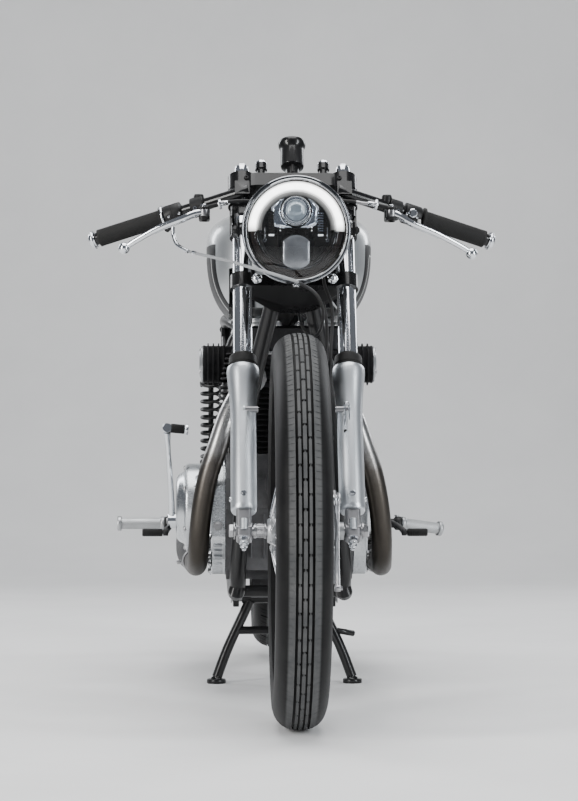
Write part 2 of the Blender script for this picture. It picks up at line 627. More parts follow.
def inset(o, d):
    """Outline moved inwards by d."""
    c = len(o)
    area2 = sum(o[i][0] * o[(i + 1) % c][1] - o[(i + 1) % c][0] * o[i][1] for i in range(c))
    s = 1 if area2 > 0 else -1
    r = []
    for i in range(c):
        a, b, e = Vector(o[i - 1]), Vector(o[i]), Vector(o[(i + 1) % c])
        d1, d2 = (b - a).normalized(), (e - b).normalized()
        n1, n2 = Vector((-d1.y, d1.x)) * s, Vector((-d2.y, d2.x)) * s
        k = n1 + n2
        k = k / max(0.3, k.dot(n1)) if k.length > 1e-6 else n1
        r.append(tuple(b + k * d))
    return r


def rounded(o, r, n=5):
    """Outline with each corner rounded to radius r (or one radius a corner)."""
    c = len(o)
    out = []
    for i in range(c):
        a, b, e = Vector(o[i - 1]), Vector(o[i]), Vector(o[(i + 1) % c])
        ri = r[i] if isinstance(r, (list, tuple)) else r
        d1, d2 = (a - b), (e - b)
        ang = d1.angle(d2)
        t = min(ri / math.tan(ang / 2), d1.length * 0.49, d2.length * 0.49)
        p, q = b + d1.normalized() * t, b + d2.normalized() * t
        for k in range(n + 1):
            u = k / n
            out.append(tuple(p * (1 - u) ** 2 + b * 2 * u * (1 - u) + q * u * u))
    return out


def smooth_path(p, n):
    """Catmull-Rom curve through points, n steps a span."""
    p = [Vector(q) for q in p]
    out = []
    for i in range(len(p) - 1):
        a, b, c, d = p[max(i - 1, 0)], p[i], p[i + 1], p[min(i + 2, len(p) - 1)]
        for k in range(n):
            t = k / n
            out.append(0.5 * ((2 * b) + (c - a) * t + (2 * a - 5 * b + 4 * c - d) * t * t + (3 * b - a - 3 * c + d) * t ** 3))
    return out + [p[-1]]


def fillet_path(p, r, n=8):
    """Straight runs joined by arcs of about radius r."""
    p = [Vector(q) for q in p]
    out = [p[0]]
    for i in range(1, len(p) - 1):
        a, b, e = p[i - 1], p[i], p[i + 1]
        d1, d2 = (a - b), (e - b)
        half = d1.angle(d2) / 2
        t = min(r / math.tan(half) if half < rad(89.5) else 0, d1.length * 0.48, d2.length * 0.48)
        s, q = b + d1.normalized() * t, b + d2.normalized() * t
        for k in range(n + 1):
            u = k / n
            out.append(s * (1 - u) ** 2 + b * 2 * u * (1 - u) + q * u * u)
    return out + [p[-1]]


def frame_at(p, axis):
    return Matrix.Translation(Vector(p)) @ Vector(axis).to_track_quat("Z", "Y").to_matrix().to_4x4()


def F(x, y, z):
    """A point of the fork's own frame, in the row frame."""
    return FORK @ Vector((x, y, z))


def bar_point(s, k, dy=0.0, dz=0.0):
    a, b = Vector((78, -440, 925)), Vector((352, -372, 843))
    p = a + (b - a).normalized() * k
    return Vector((s * p.x, p.y + dy, p.z + dz))


BAR_LEN = (Vector((352, -372, 843)) - Vector((78, -440, 925))).length


def from_cad(node, name, mat, bevel=1.2, segs=2, angle=32):
    """A copy of a CAD node's mesh with its edges rounded, standing for that node."""
    src = frame["nodes"][node]
    me = src.data.copy()
    me.name = name
    bm = bmesh.new()
    bm.from_mesh(me)
    bmesh.ops.remove_doubles(bm, verts=bm.verts, dist=0.00002)
    bmesh.ops.dissolve_limit(bm, angle_limit=rad(1.0), verts=bm.verts, edges=bm.edges)
    bm.to_mesh(me)
    bm.free()
    me.materials.clear()
    me.materials.append(MATS[mat])
    for p in me.polygons:
        p.material_index = 0
        p.use_smooth = True
    me.set_sharp_from_angle(angle=rad(angle))
    ob = bpy.data.objects.new(name, me)
    bpy.context.collection.objects.link(ob)
    if bevel:
        b = ob.modifiers.new("bevel", "BEVEL")
        b.width = bevel * MM
        b.segments = segs
        b.limit_method = "ANGLE"
        b.angle_limit = rad(angle)
        b.use_clamp_overlap = True
        b.harden_normals = True
    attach(ob, next(k for k, v in BODY_NODES.items() if node in v))
    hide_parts(node)
    return ob


# ------------------------------------------------------------------ wheels
def tyre(name, body, node, mat, wheel, r, w, b, ribs, pitches, depth):
    """Tyre: crown with ribs and cross slots, shoulders with a serrated edge, sidewalls with rings.
    ribs: (middle, half width, slot place in the pitch or None)."""
    h, c = (r - b) / 2, (r + b) / 2

    def at(x):
        a = math.asin(min(1.0, (abs(x) / (w / 2)) ** (1 / 0.86)))
        return c + h * math.cos(a) ** 0.86
    cols = []                                         # (x, radius, depth, slot, edge notch)
    ribs = sorted(ribs)
    for k, (mx, hw, slot) in enumerate(ribs):
        outer = k in (0, len(ribs) - 1)
        lo, hi = mx - hw, mx + hw
        for x in (lo, lo + hw * 0.72, hi - hw * 0.72, hi) if not outer else ((lo, lo + 2.4, hi) if k == 0 else (lo, hi - 2.4, hi)):
            edge = outer and abs(x) >= max(abs(lo), abs(hi)) - 2.5
            cols.append((x, at(x), 0.0 if outer or x in (lo, hi) else 1.0, slot, edge))
        if k < len(ribs) - 1:
            nx = ribs[k + 1][0] - ribs[k + 1][1]
            cols.append((hi + 0.3, at(hi) - depth, 0.0, "groove", False))
            cols.append((nx - 0.3, at(nx) - depth, 0.0, "groove", False))
    xo = ribs[-1][0] + ribs[-1][1]
    a0 = math.degrees(math.asin((xo / (w / 2)) ** (1 / 0.86)))
    side = []
    steps = 16
    for k in range(1, steps + 1):
        a = a0 + (118 - a0) * k / steps
        rr = c + h * (1 if math.cos(rad(a)) >= 0 else -1) * abs(math.cos(rad(a))) ** 0.86
        xx = (w / 2) * abs(math.sin(rad(a))) ** 0.86
        bumpy = {1: -1.6, 2: -0.4, 9: 0.6, 12: 0.9, 13: -0.5}.get(k, 0.0)
        side.append((xx, rr, bumpy))
    full = [(-x, rr, d, None, False) for x, rr, d in reversed(side)] + cols + [(x, rr, d, None, False) for x, rr, d in side]
    us = [0, .006, .05, .104, .110, .18, .25, .256, .285, .291, .4, .5, .506, .55, .604, .610, .68, .75, .756, .785, .791, .9]
    v, f = [], []
    n = len(full)
    for p in range(pitches):
        for u in us:
            a = 2 * math.pi * (p + u) / pitches
            ca, sa = math.cos(a), math.sin(a)
            for x, rr, d, slot, edge in full:
                rd = rr + (d * 0.5 if slot is None else 0.0)
                if isinstance(slot, float):             # notches in both edges of the rib, joined by a shallow sipe
                    du = (u - slot) % 1.0
                    if d == 0.0 and 0.003 < du < 0.106:
                        rd -= depth * 0.85
                    if d == 1.0 and 0.003 < du < 0.055:
                        rd -= depth * 0.45
                if edge and any(abs(((u - e) % 1.0) - 0.018) < 0.013 for e in (0.25, 0.75)):
                    rd -= 1.3
                if edge and any(0.003 < ((u - e) % 1.0) < 0.055 for e in (0.0, 0.5)):
                    rd -= 1.3
                v.append((x + (math.copysign(d * 0.5, x) if slot is None else 0), rd * ca, rd * sa))
    rings = pitches * len(us)
    for i in range(rings):
        j = (i + 1) % rings
        for k in range(n - 1):
            f.append([i * n + k, i * n + k + 1, j * n + k + 1, j * n + k])
    B = Build()
    B.add(v, f, 0, wheel)
    # inner closing band, hidden by the rim
    v2 = []
    for i in range(96):
        a = 2 * math.pi * i / 96
        for x, rr in ((full[0][0], full[0][1]), (full[-1][0], full[-1][1])):
            v2.append((x, rr * math.cos(a), rr * math.sin(a)))
    B.add(v2, [[2 * i, 2 * ((i + 1) % 96), 2 * ((i + 1) % 96) + 1, 2 * i + 1] for i in range(96)], 0, wheel)
    return B.done(name, body, mat, [node], angle=30)


def rim(name, body, node, wheel, b, w, spokes_n, e):
    B = Build()
    prof = [(b + 1, -w / 2), (b - 1, -w / 2 - 1.6), (b - 4, -w / 2 - 2.0), (b - 7, -w / 2 - 0.6), (b - 9, -w / 2 + 4), (b - 10.5, -w / 2 + 9), (b - 16, -w / 4 - 2), (b - 19, -w / 5), (b - 20, 0)]
    prof = prof + [(r, -x) for r, x in reversed(prof[:-1])]
    inner = [(b - 3, w / 2 - 5), (b - 14, w / 4), (b - 16.5, 0), (b - 14, -w / 4), (b - 3, -w / 2 + 5)]
    B.lathe(prof + inner, wheel @ ALONG_X, 0, 144, closed=True)
    for i in range(spokes_n):                       # nipple seats
        a = rad(360 * i / spokes_n)
        left = i % 2
        p = Vector((4.5 if left else -4.5, (b - 20.2) * math.sin(a), (b - 20.2) * math.cos(a)))
        inw = Vector((0, -math.sin(a), -math.cos(a)))
        B.lathe([(5.2, -0.8), (5.0, 0.4), (3.4, 0.9), (0, 0.9)], wheel @ frame_at(p, inw), 0, 12)
    # tyre valve
    a = rad(15)
    q = Vector((0, (b - 19) * math.sin(a), (b - 19) * math.cos(a)))
    B.rod(wheel @ q, wheel @ (q - Vector((0, math.sin(a), math.cos(a))) * 26), 3.6, 1, 12, ch=0.8)
    return B.done(name, body, ["chrome", "rubber_black"], [node], angle=40)


def hub(name, body, node, wheel, prof, n, x0, x1, h0, h1, e, extra=None):
    """Hub shell and crossed spokes with nipples; the spoke layout is the CAD one."""
    B = Build()
    B.lathe(prof, wheel @ ALONG_X, 0, 96)
    for i in range(n):
        left = i % 2
        a = rad(360 * i / n)
        lead = (1 if (i // 2) % 2 == 0 else -1) * rad(24)
        x, h = (x1, h1) if left else (x0, h0)
        p = Vector((x, h * math.sin(a + lead), h * math.cos(a + lead)))
        q = Vector((5 if left else -5, e * math.sin(a), e * math.cos(a)))
        d = (q - p).normalized()
        off = 2.6 if (i // 2) % 2 == 0 else -2.6      # crossing spokes pass each other
        p0 = p + Vector((off, 0, 0))
        B.rod(wheel @ (p0 - d * 2), wheel @ (q - d * 12), 1.7, 1, 8)
        B.rod(wheel @ (q - d * 20), wheel @ (q + d * 2.5), 2.6, 2, 8, r2=3.0)
        B.rod(wheel @ (p0 + Vector((math.copysign(3.2, off), 0, 0)) * 0.6 - d * 2), wheel @ (p0 - Vector((math.copysign(3.0, off), 0, 0)) * 0.6 - d * 2), 2.9, 1, 8)
    if extra:
        extra(B)
    return B.done(name, body, ["alloy", "spring_steel", "steel", "cast_dark"], [node], angle=35)


def wheels():
    tyre("tread_tyre_front", "front_wheel", "front_tyre", "tyre_front", FWHEEL, FR, FW, 240,
         [(0, 2.9, 0.0), (-8.3, 2.3, 0.5), (8.3, 2.3, 0.5), (-18.8, 3.8, None), (18.8, 3.8, None)], 44, 4.4)
    tyre("tread_tyre_rear", "rear_wheel", "rear_tyre", "tyre_rear", RWHEEL, RR, RW, 229,
         [(0, 5.8, 0.0), (-14, 5.6, 0.5), (14, 5.6, 0.5), (-28.4, 6.2, 0.0), (28.4, 6.2, 0.0)], 44, 5.0)
    rim("wheel_rim_front", "front_wheel", "front_rim", FWHEEL, 241, 58, 36, 219.5)
    rim("wheel_rim_rear", "rear_wheel", "rear_rim", RWHEEL, 230, 66, 36, 208.5)
    fins = [(88.5, 6), (92.5, 7), (92.5, 9), (88.5, 10)]
    prof = [(7.6, -52), (19, -52), (20, -51), (22, -46.5), (35, -46.5), (36, -45.5), (36, -41), (35, -40), (24, -34), (24.5, -24), (27, -16), (50, -9), (76, -4), (90, -3), (92, -1)]
    for k in range(5):
        x = 3 + k * 7
        prof += [(89, x), (89, x + 2.5), (93, x + 3.2), (93, x + 5.4)]
    prof += [(92, 38), (96, 38.6), (96, 43.4), (95, 44), (60, 44), (7.6, 44)]
    hub("hub_front", "front_wheel", "front_hub", FWHEEL, prof, 36, -43, 41, 33, 93, 219.5)
    prof = [(8.6, -52), (90, -52), (94, -50.5), (94, -44.5), (90, -44)]
    for k in range(5):
        x = -42 + k * 7
        prof += [(86, x), (86, x + 2.5), (90, x + 3.2), (90, x + 5.4)]
    prof += [(88, -6), (52, 6), (44, 20), (44, 34), (62, 38), (62, 44), (44, 48), (44, 68), (8.6, 68)]

    def rear_extra(B):
        for k in range(6):
            a = rad(60 * k + 30)
            B.hexnut(RWHEEL @ Vector((81.7, 33 * math.sin(a), 33 * math.cos(a))), (1, 0, 0), 6.0, 6, 2)
    hub("hub_rear", "rear_wheel", "rear_hub", RWHEEL, prof, 36, -47, 41, 91, 59, 208.5, rear_extra)
    # sprocket with teeth
    B = Build()
    teeth = 34
    o = []
    for i in range(teeth):
        for du, r in ((0.0, 87.5), (0.2, 88.5), (0.38, 94), (0.5, 95.2), (0.62, 94), (0.8, 88.5)):
            a = 2 * math.pi * (i + du) / teeth
            o.append((r * math.cos(a), r * math.sin(a)))
    n = len(o)
    inner = [(58 * math.cos(2 * math.pi * i / n), 58 * math.sin(2 * math.pi * i / n)) for i in range(n)]
    v, f = [], []
    for ring, z in ((o, 0), (o, 6), (inner, 6), (inner, 0)):
        v += [(x, y, z) for x, y in ring]
    for k in range(4):
        for i in range(n):
            j = (i + 1) % n
            a, b2 = k * n, ((k + 1) % 4) * n
            f.append([a + i, a + j, b2 + j, b2 + i])
    B.add(v, f, 0, RWHEEL @ Matrix.Translation((75, 0, 0)) @ ALONG_X)
    B.lathe([(9, 0), (42, 0), (42, 7), (36, 8), (9, 8)], RWHEEL @ Matrix.Translation((74.5, 0, 0)) @ ALONG_X, 0, 48)
    for k in range(6):
        B.rod(RWHEEL @ Vector((78, 38 * math.sin(rad(60 * k)), 38 * math.cos(rad(60 * k)))), RWHEEL @ Vector((78, 62 * math.sin(rad(60 * k)), 62 * math.cos(rad(60 * k)))), 5.5, 0, 10)
    B.done("sprocket_rear", "rear_wheel", ["steel"], ["rear_sprocket"])


# ------------------------------------------------------------------ fork and steering
BRAKE = [(-132, -474.5, 897.5), (-124, -475, 899), (-112, -476, 901.5), (-84, -474, 903), (-48, -464, 900), (4, -448, 882), (40, -452, 850), (54, -474, 812),
         (50, -508, 776), (52, -530, 750), (62, -556, 716), (63, -572, 680), (60, -584, 640), (57, -612, 560), (58, -670, 440), (60, -712, 380)]
THROTTLE = [(-214, -406.3, 862.5), (-213.5, -408, 848), (-207, -418, 831), (-193, -432, 820), (-175, -440, 813.3), (-116, -500, 795.4), (-89, -560, 783),
            (-64, -640, 770), (-13, -655, 753.5), (5, -640, 747), (28, -600, 736.5), (42, -552, 724), (50, -512, 703), (46, -484, 676)]
THROTTLE_TAIL = [(40, -404, 668), (28, -384, 672), (18, -350, 690), (15, -300, 712), (16, -240, 732), (18, -180, 738), (20, -110, 734), (28, -50, 726),
                 (46, -14, 720.5), (58, 6, 719.5), (60, 17, 716.5), (60, 20, 712.4)]
CLUTCH = [(146, -474.5, 897), (136, -475, 898), (122, -476, 899), (96, -474, 903), (68, -464, 900), (48, -448, 856), (44, -444, 822), (44, -456, 798), (44, -473.1, 764.3)]
CLUTCH_TAIL = [(60, -420, 690), (60, -382, 630), (50, -336, 560), (56, -290, 490), (84, -262, 440), (110, -262, 420), (130, -252, 406), (136, -236, 399), (136, -216, 397)]
PIVOT = {1: 172, -1: 158}
LEVER = {1: [(168, -470, 883), (178, -473, 881), (190, -475, 875), (209, -474, 864), (250, -464, 848), (290, -453, 829), (312, -447.3, 816.5)],
         -1: [(-154, -470, 883), (-166, -473, 882), (-178, -475, 879), (-200, -474, 870), (-239, -466, 855), (-280, -455, 833), (-296, -449.4, 823.4)]}
BALL = {1: (317, -446, 813), -1: (-300, -448, 821)}


def fork():
    B = Build()
    prof = [(0, 34), (17, 34), (20, 35), (21.6, 38), (22, 44), (22, 204), (22.2, 220), (22.9, 238), (24.2, 257), (26.1, 276), (27.5, 290), (28.2, 299), (28.1, 304), (27.3, 307), (26.2, 308), (17.2, 308)]
    for s in (1, -1):
        m = FORK @ Matrix.Translation((s * LX, 0, 0))
        B.lathe(prof, m, 0, 72)
        # axle clamp: upper half, cap, studs and domed nuts
        B.block((-13, -15.5, 2), (13, 15.5, 42), m, 3, 1.6, 6)
        B.block((-13, -15.5, -17), (13, 15.5, 0.6), m, 3, 2.4, 7)
        B.rod(m @ Vector((0, -12.5, -4)), m @ Vector((0, -12.5, 16)), 7.0, 0, 28, ch=1.2)
        B.lathe([(0, -13.6), (13.6, -13.6), (14.4, -12.6), (14.4, 12.6), (13.6, 13.6), (0, 13.6)], m @ Matrix.Rotation(rad(90), 4, "Y"), 3, 40)
        for y in (-11.5, 11.5):
            B.rod(m @ Vector((0, y, -30)), m @ Vector((0, y, 4)), 3.6, 1, 14, ch=0.6)
            B.hexnut(m @ Vector((0, y, -17)), m.to_3x3() @ Vector((0, 0, -1)), 6.6, 7, 1, dome=3.5)
        B.hexnut(m @ Vector((0, -21.5, 60)), m.to_3x3() @ Vector((0, -1, 0)), 4.2, 3.4, 1)
        # mudguard lug: a short turned bar across the front of the leg, tapped from its inner end
        B.rod((s * 66, -617, 534), (s * 91.5, -617, 534), 5.6, 3, 32, ch=0.7)
        B.lathe([(0, 0), (6.4, 0), (6.8, 0.6), (6.8, 3.2), (6.2, 4), (0, 4)], frame_at((s * 88, -617, 534), (s, 0, 0)), 0, 32)
        B.lathe([(3.1, 0.2), (5.0, 0.2), (5.0, -0.4), (3.1, -0.4)], frame_at((s * 66, -617, 534), (-s, 0, 0)), 1, 24)
        B.rod((s * 65.7, -617, 534), (s * 70, -617, 534), 3.0, 2, 18)
        # fork oil drain screw on the outer side
        B.screw(m @ Vector((s * 21.6, 0, 58)), m.to_3x3() @ Vector((s, 0, 0)), 4.4, 3, 1)
    # cable stop and strap on the left leg
    for x in (81.4, 88.6):
        B.rod((x, -633.5, 499), (x, -623.5, 541), 1.4, 1, 10)
    B.tube(smooth_path([(81.4, -623.5, 541), (82.6, -623.2, 544.6), (85, -623, 546), (87.4, -623.2, 544.6), (88.6, -623.5, 541)], 4), 1.4, 1, 10)
    B.block((79, -639, 478), (91, -625, 500), None, 2, 1.4, 2)
    B.hexnut((85, -639, 489), (0, -1, 0), 3.4, 2.6, 1)
    B.done("fork_lower_skins", "steering", ["fork_alloy", "chrome", "rubber_black", "alloy_dark"], ["fork_lowers"], angle=32)

    B = Build()
    for s in (1, -1):
        m = FORK @ Matrix.Translation((s * LX, 0, 0))
        B.lathe([(SR + 0.1, 308.3), (23.6, 308.3), (24.2, 309), (24.2, 311.5), (23.5, 312.3), (23.5, 313.6), (24.4, 314.6), (24.5, 326), (23.8, 329), (22, 331.4), (19.6, 333), (18.6, 334), (18.0, 334), (SR + 0.1, 332.5)], m, 0, 64, closed=True)
    B.done("fork_dust_covers", "steering", ["rubber_black", "steel"], ["dust_covers"])

    B = Build()
    for s in (1, -1):
        m = FORK @ Matrix.Translation((s * LX, 0, 0))
        B.lathe([(0, 300), (SR, 300), (SR, 698), (16, 699), (13, 699.2), (12.4, 700), (12.4, 702), (13, 703), (13, 716), (12.6, 719), (11.6, 721.2), (9.8, 722.4), (0, 722.6)], m, 0, 64)
        o = [(7.4 * math.cos(rad(60 * k)), 7.4 * math.sin(rad(60 * k))) for k in range(6)]
        B.prism(o, 4.6, m @ Matrix.Translation((0, 0, 722.2)), 0, 0.9)
        B.lathe([(0, 727), (4.5, 726.9), (5, 726.4), (5, 725)], m, 0, 20)
    B.done("fork_stanchion_tubes", "steering", ["chrome"], ["fork_stanchions"], angle=35)

    # lamp ears: sleeves on the stanchions and side plates
    from_cad("headlight_brackets", "lamp_ears", "black_gloss", 1.0, 2)
    from_cad("lower_yoke", "yoke_lower", "black_gloss", 1.6, 2)
    from_cad("upper_yoke", "yoke_upper", "black_gloss", 1.6, 2)
    B = Build()
    for s in (1, -1):
        # round-headed pinch bolts of the lower yoke
        B.lathe([(0, -2), (8, -2), (8, 0.5), (7.4, 2.2), (5.6, 3.8), (3.2, 4.6), (2.6, 2.2), (0, 2.0)], frame_at((s * 66, -516.2, 763.5), (0, -1, 0)), 0, 32)
        B.ring((s * 66, -516.4, 763.5), (0, -1, 0), 8.1, 0.7, 0, 32, 8)
        # lamp ear bolts
        B.hexnut((s * 101, -578, 843), (s, 0, 0), 7.5, 5, 1, dome=3)
        # upper yoke pinch bolts, domed
        p = F(s * 56, -2, 726.2)
        B.hexnut(p, FORK.to_3x3() @ Vector((0, 0, 1)), 8.6, 5, 0, dome=2.5)
        B.cap(F(s * (LX - 8), -23, 684), FORK.to_3x3() @ Vector((0, -1, 0)), 4, 4, 1)
        for z in (578, 618):
            B.cap(F(s * (LX + 12), -19, z + 4), FORK.to_3x3() @ Vector((0, -1, 0)), 3.0, 3, 1)
    B.hexnut(F(0, FO, 710), FORK.to_3x3() @ Vector((0, 0, 1)), 14, 7, 0, dome=3)
    # lower bearing dust cap and stem ring
    B.lathe([(16, 493), (29, 493), (29, 501), (27, 502.8), (16, 502.8)], FORK @ Matrix.Translation((0, FO, 0)), 1, 48)
    B.lathe([(16, 665.4), (28, 665.4), (28, 668.6), (16, 668.6)], FORK @ Matrix.Translation((0, FO, 0)), 1, 48)
    B.done("steering_bolts", "steering", ["chrome", "black_satin"])


def headlamp():
    # bucket
    B = Build()
    prof = [(0, -137), (14, -136.6), (30, -133), (46, -126), (60, -115), (70, -103), (78, -88), (83, -74), (86.5, -58), (89, -42), (90, -28), (90, -14), (90.6, -13.4), (90.6, -12.2)]
    B.lathe(prof, LAMP, 0, 96)
    B.lathe([(86, -12.2), (86, -33), (0, -33)], LAMP, 0, 96)
    B.lathe([(90.6, -12.2), (86, -12.2)], LAMP, 0, 96)
    for s in (1, -1):
        B.lathe([(0, 0), (10, 0), (10, 1.3), (9, 2), (0, 2)], frame_at((s * 89.2, -578, 843), (s, 0, 0)), 0, 32)
    B.rod(LAMP @ Vector((0, -88, -52)), LAMP @ Vector((0, -96, -60)), 5, 1, 16)
    B.done("lamp_bucket", "steering", ["black_gloss", "rubber_black"], ["headlight_shell"], angle=40)
    # rim: two rounded chrome beads with a groove between them, and a clamp screw below
    B = Build()
    prof = [(85.2, -12), (91.6, -12), (93.4, -11), (94, -9), (94, -5.4), (93.5, -3.6), (92.5, -2.9), (91.7, -3.4), (91.2, -4.6), (90.3, -5.0), (89.6, -3.4), (89.0, 0.2), (88.0, 2.6), (86.9, 3.4), (85.8, 2.8), (85.2, 1.2)]
    B.lathe(prof, LAMP, 0, 144, closed=True)
    B.block((-5, -99, -10), (5, -92, -3), LAMP, 0, 1.0)
    B.screw(LAMP @ Vector((0, -96, -3)), (0, -1, 0), 2.6, 2, 0)
    B.done("lamp_rim", "steering", ["rim_chrome"], ["headlight_bezel"], angle=50)
    # inside: dark housing, light ring, two projectors, side details
    B = Build()
    B.lathe([(0, -33), (85, -33), (85, -2), (84.2, 0), (83, -1), (82.6, -4), (82.4, -20)], LAMP, 0, 96)
    B.lathe([(68.5, -22), (69.4, -8), (68.4, -6.6), (67.4, -8), (66.4, -22)], LAMP, 2, 96, a0=180, a1=360)       # inner chrome edge, lower half
    B.lathe([(64, -30), (66.4, -22), (66.4, -14), (65.4, -13), (64.4, -14), (60, -26), (0, -28)], LAMP, 0, 96)
    B.ring(LAMP @ Vector((0, 34, -12.4)), (0, -1, 0), 23.6, 1.1, 2, 64, 10)
    # light ring: lit above, dark below
    ringp = [(66.6, -18), (66.9, -10), (69, -6.2), (75.0, -4.2), (80.5, -5.4), (82.3, -9), (82.4, -18)]
    B.lathe(ringp, LAMP, 1, 72, a0=-2, a1=182)
    B.lathe([(69, -19), (69.5, -10), (72, -7.5), (79, -7.5), (81.8, -10), (82.2, -19)], LAMP, 3, 72, a0=182, a1=358)
    B.lathe([(59, -15), (62.5, -12), (66.5, -10), (68.6, -9.5)], LAMP, 1, 96, a0=0, a1=180)
    B.lathe([(82.3, -9), (83.4, -6.5), (84.6, -5.5)], LAMP, 1, 96, a0=0, a1=180)
    # reflector bowl round the upper projector
    bowl = rounded([(-41, 8), (-22, 4), (20, 4), (36, 10), (40, 40), (28, 56), (0, 64), (-30, 56), (-43, 40)], 8, 5)
    B.prism(bowl, 5, LAMP @ Matrix.Translation((0, 0, -28)), 4, 1.5)
    inner = inset(bowl, 3.5)
    v, f = [], []
    for o, z in ((bowl, -23), (inner, -21.8), (inset(bowl, 7), -25)):
        v += [(x, y, z) for x, y in o]
    n = len(bowl)
    for k in range(2):
        for i in range(n):
            j = (i + 1) % n
            f.append([k * n + i, k * n + j, (k + 1) * n + j, (k + 1) * n + i])
    B.add(v, f, 4, LAMP)
    up = LAMP @ Matrix.Translation((0, 34, 0))
    B.lathe([(30, -26), (28.5, -18), (26.5, -15), (24.4, -13.4), (23.4, -12.4), (22.4, -12.6), (21.6, -14.5), (19.8, -15.8), (18.6, -13), (17.6, -12.2), (16.8, -13.4)], up, 2, 64)
    B.lathe([(17.2, -13.4), (14.5, -9.6), (10.5, -6.8), (5.5, -5.2), (0, -4.8)], up, 5, 48)
    # lower lens: round, cut flat at both sides
    lo = LAMP @ Matrix.Translation((0, -38, 0))
    def dshape(r, hw, n=28):
        a = math.acos(min(1, hw / r))
        o = []
        for k in range(n + 1):
            t = a + (math.pi - 2 * a) * k / n
            o.append((r * math.cos(t), r * math.sin(t)))
        for k in range(n + 1):
            t = math.pi + a + (math.pi - 2 * a) * k / n
            o.append((r * math.cos(t), r * math.sin(t)))
        return o
    base, v, f = dshape(1.0, 0.78), [], []
    n = len(base)
    shells = [(30.0, -26), (29.8, -12), (29.0, -9.6), (27.0, -8.6), (24.0, -7.6), (20, -6.8), (14, -6.0), (7, -5.4)]
    for r, z in shells:
        v += [(x * r, y * r, z) for x, y in base]
    v.append((0, 0, -5.1))
    for k in range(len(shells) - 1):
        for i in range(n):
            j = (i + 1) % n
            f.append([k * n + i, k * n + j, (k + 1) * n + j, (k + 1) * n + i])
    f += [[(len(shells) - 1) * n + i, (len(shells) - 1) * n + (i + 1) % n, len(shells) * n] for i in range(n)]
    B.add(v, f, 6, lo)
    B.add([(x * 31.6, y * 31.6, z) for z in (-26, -14.6) for x, y in base] + [(x * 30.3, y * 30.3, -14.2) for x, y in base],
          [[k * n + i, k * n + (i + 1) % n, (k + 1) * n + (i + 1) % n, (k + 1) * n + i] for k in range(2) for i in range(n)], 0, lo)
    for s in (1, -1):
        # chevron marks behind the lower lens face, chips, ribbed columns, pins
        m = LAMP @ Matrix.Translation((s * 9.6, -23.2, -9.9)) @ Matrix.Rotation(rad(-34 * s), 4, "Z")
        B.block((-6, -1.5, 0), (6, 1.5, 1.0), m, 7, 0.3)
        B.block((s * 42.3 - 4.4, -9.2, -25), (s * 42.3 + 4.4, -6.6, -19), LAMP, 7, 0.3)
        B.block((s * 42.6 - 5.4, -4, -27), (s * 42.6 + 5.4, 34, -22), LAMP, 0, 0.6)
        for k in range(8):
            y = -2 + k * 4.4
            B.block((s * 42.6 - 4.9, y, -22), (s * 42.6 + 4.9, y + 2.4, -19.6 + 0.1 * k), LAMP, 4 if s > 0 else 0, 0.5)
        B.tube([LAMP @ Vector((s * 53.8, 6 - 2 * k, -18)) for k in range(13)], [2.2] * 11 + [3.4, 2.4], 0, 12)
        B.ring(LAMP @ Vector((s * 53.8, -17.5, -14.8)), (0, -1, 0), 2.4, 0.7, 2, 20, 6)
        B.tube([LAMP @ Vector((s * 53.8, 4, -15.4)), LAMP @ Vector((s * 53.8, -14, -15.4))], 0.8, 2, 6)
        for y in (0, 5.5):
            B.lathe([(0, 1), (0.9, 0.6), (1.1, 0)], LAMP @ Matrix.Translation((s * 27, y, -22)), 7, 10)
        B.block((s * 31 - 1, -60, -28), (s * 31 + 1, 2, -20), LAMP, 0, 0.3)
    for k in range(7):                              # cooling ribs between the projectors
        B.block((-20 + 1.2 * k, 2 - 2.2 * k, -27), (20 - 1.2 * k, 3 - 2.2 * k, -18.5), LAMP, 0, 0.2)
    B.block((-64, -6.5, -27), (-26, -4.5, -19), LAMP, 0, 0.4)
    B.block((26, -6.5, -27), (64, -4.5, -19), LAMP, 0, 0.4)
    B.done("lamp_inside", "steering", ["lamp_inner", "lamp_on", "chrome", "lamp_guide_off", "lamp_reflector", "lamp_lens_clear", "lamp_lens_grey", "lamp_chip"], ["headlight_unit"], angle=40)
    # front glass: shallow dome
    B = Build()
    prof = []
    for k in range(15):
        a = rad(16.55 * k / 14)
        prof.append((297 * math.sin(a), 297 * math.cos(a) - 286))
    back = [(r * 0.995, z - 2.2) for r, z in reversed(prof)]
    B.lathe(prof + back, LAMP, 0, 96)
    ob = B.done("lamp_glass", "steering", ["clear_glass"], ["headlight_glass"], angle=60)


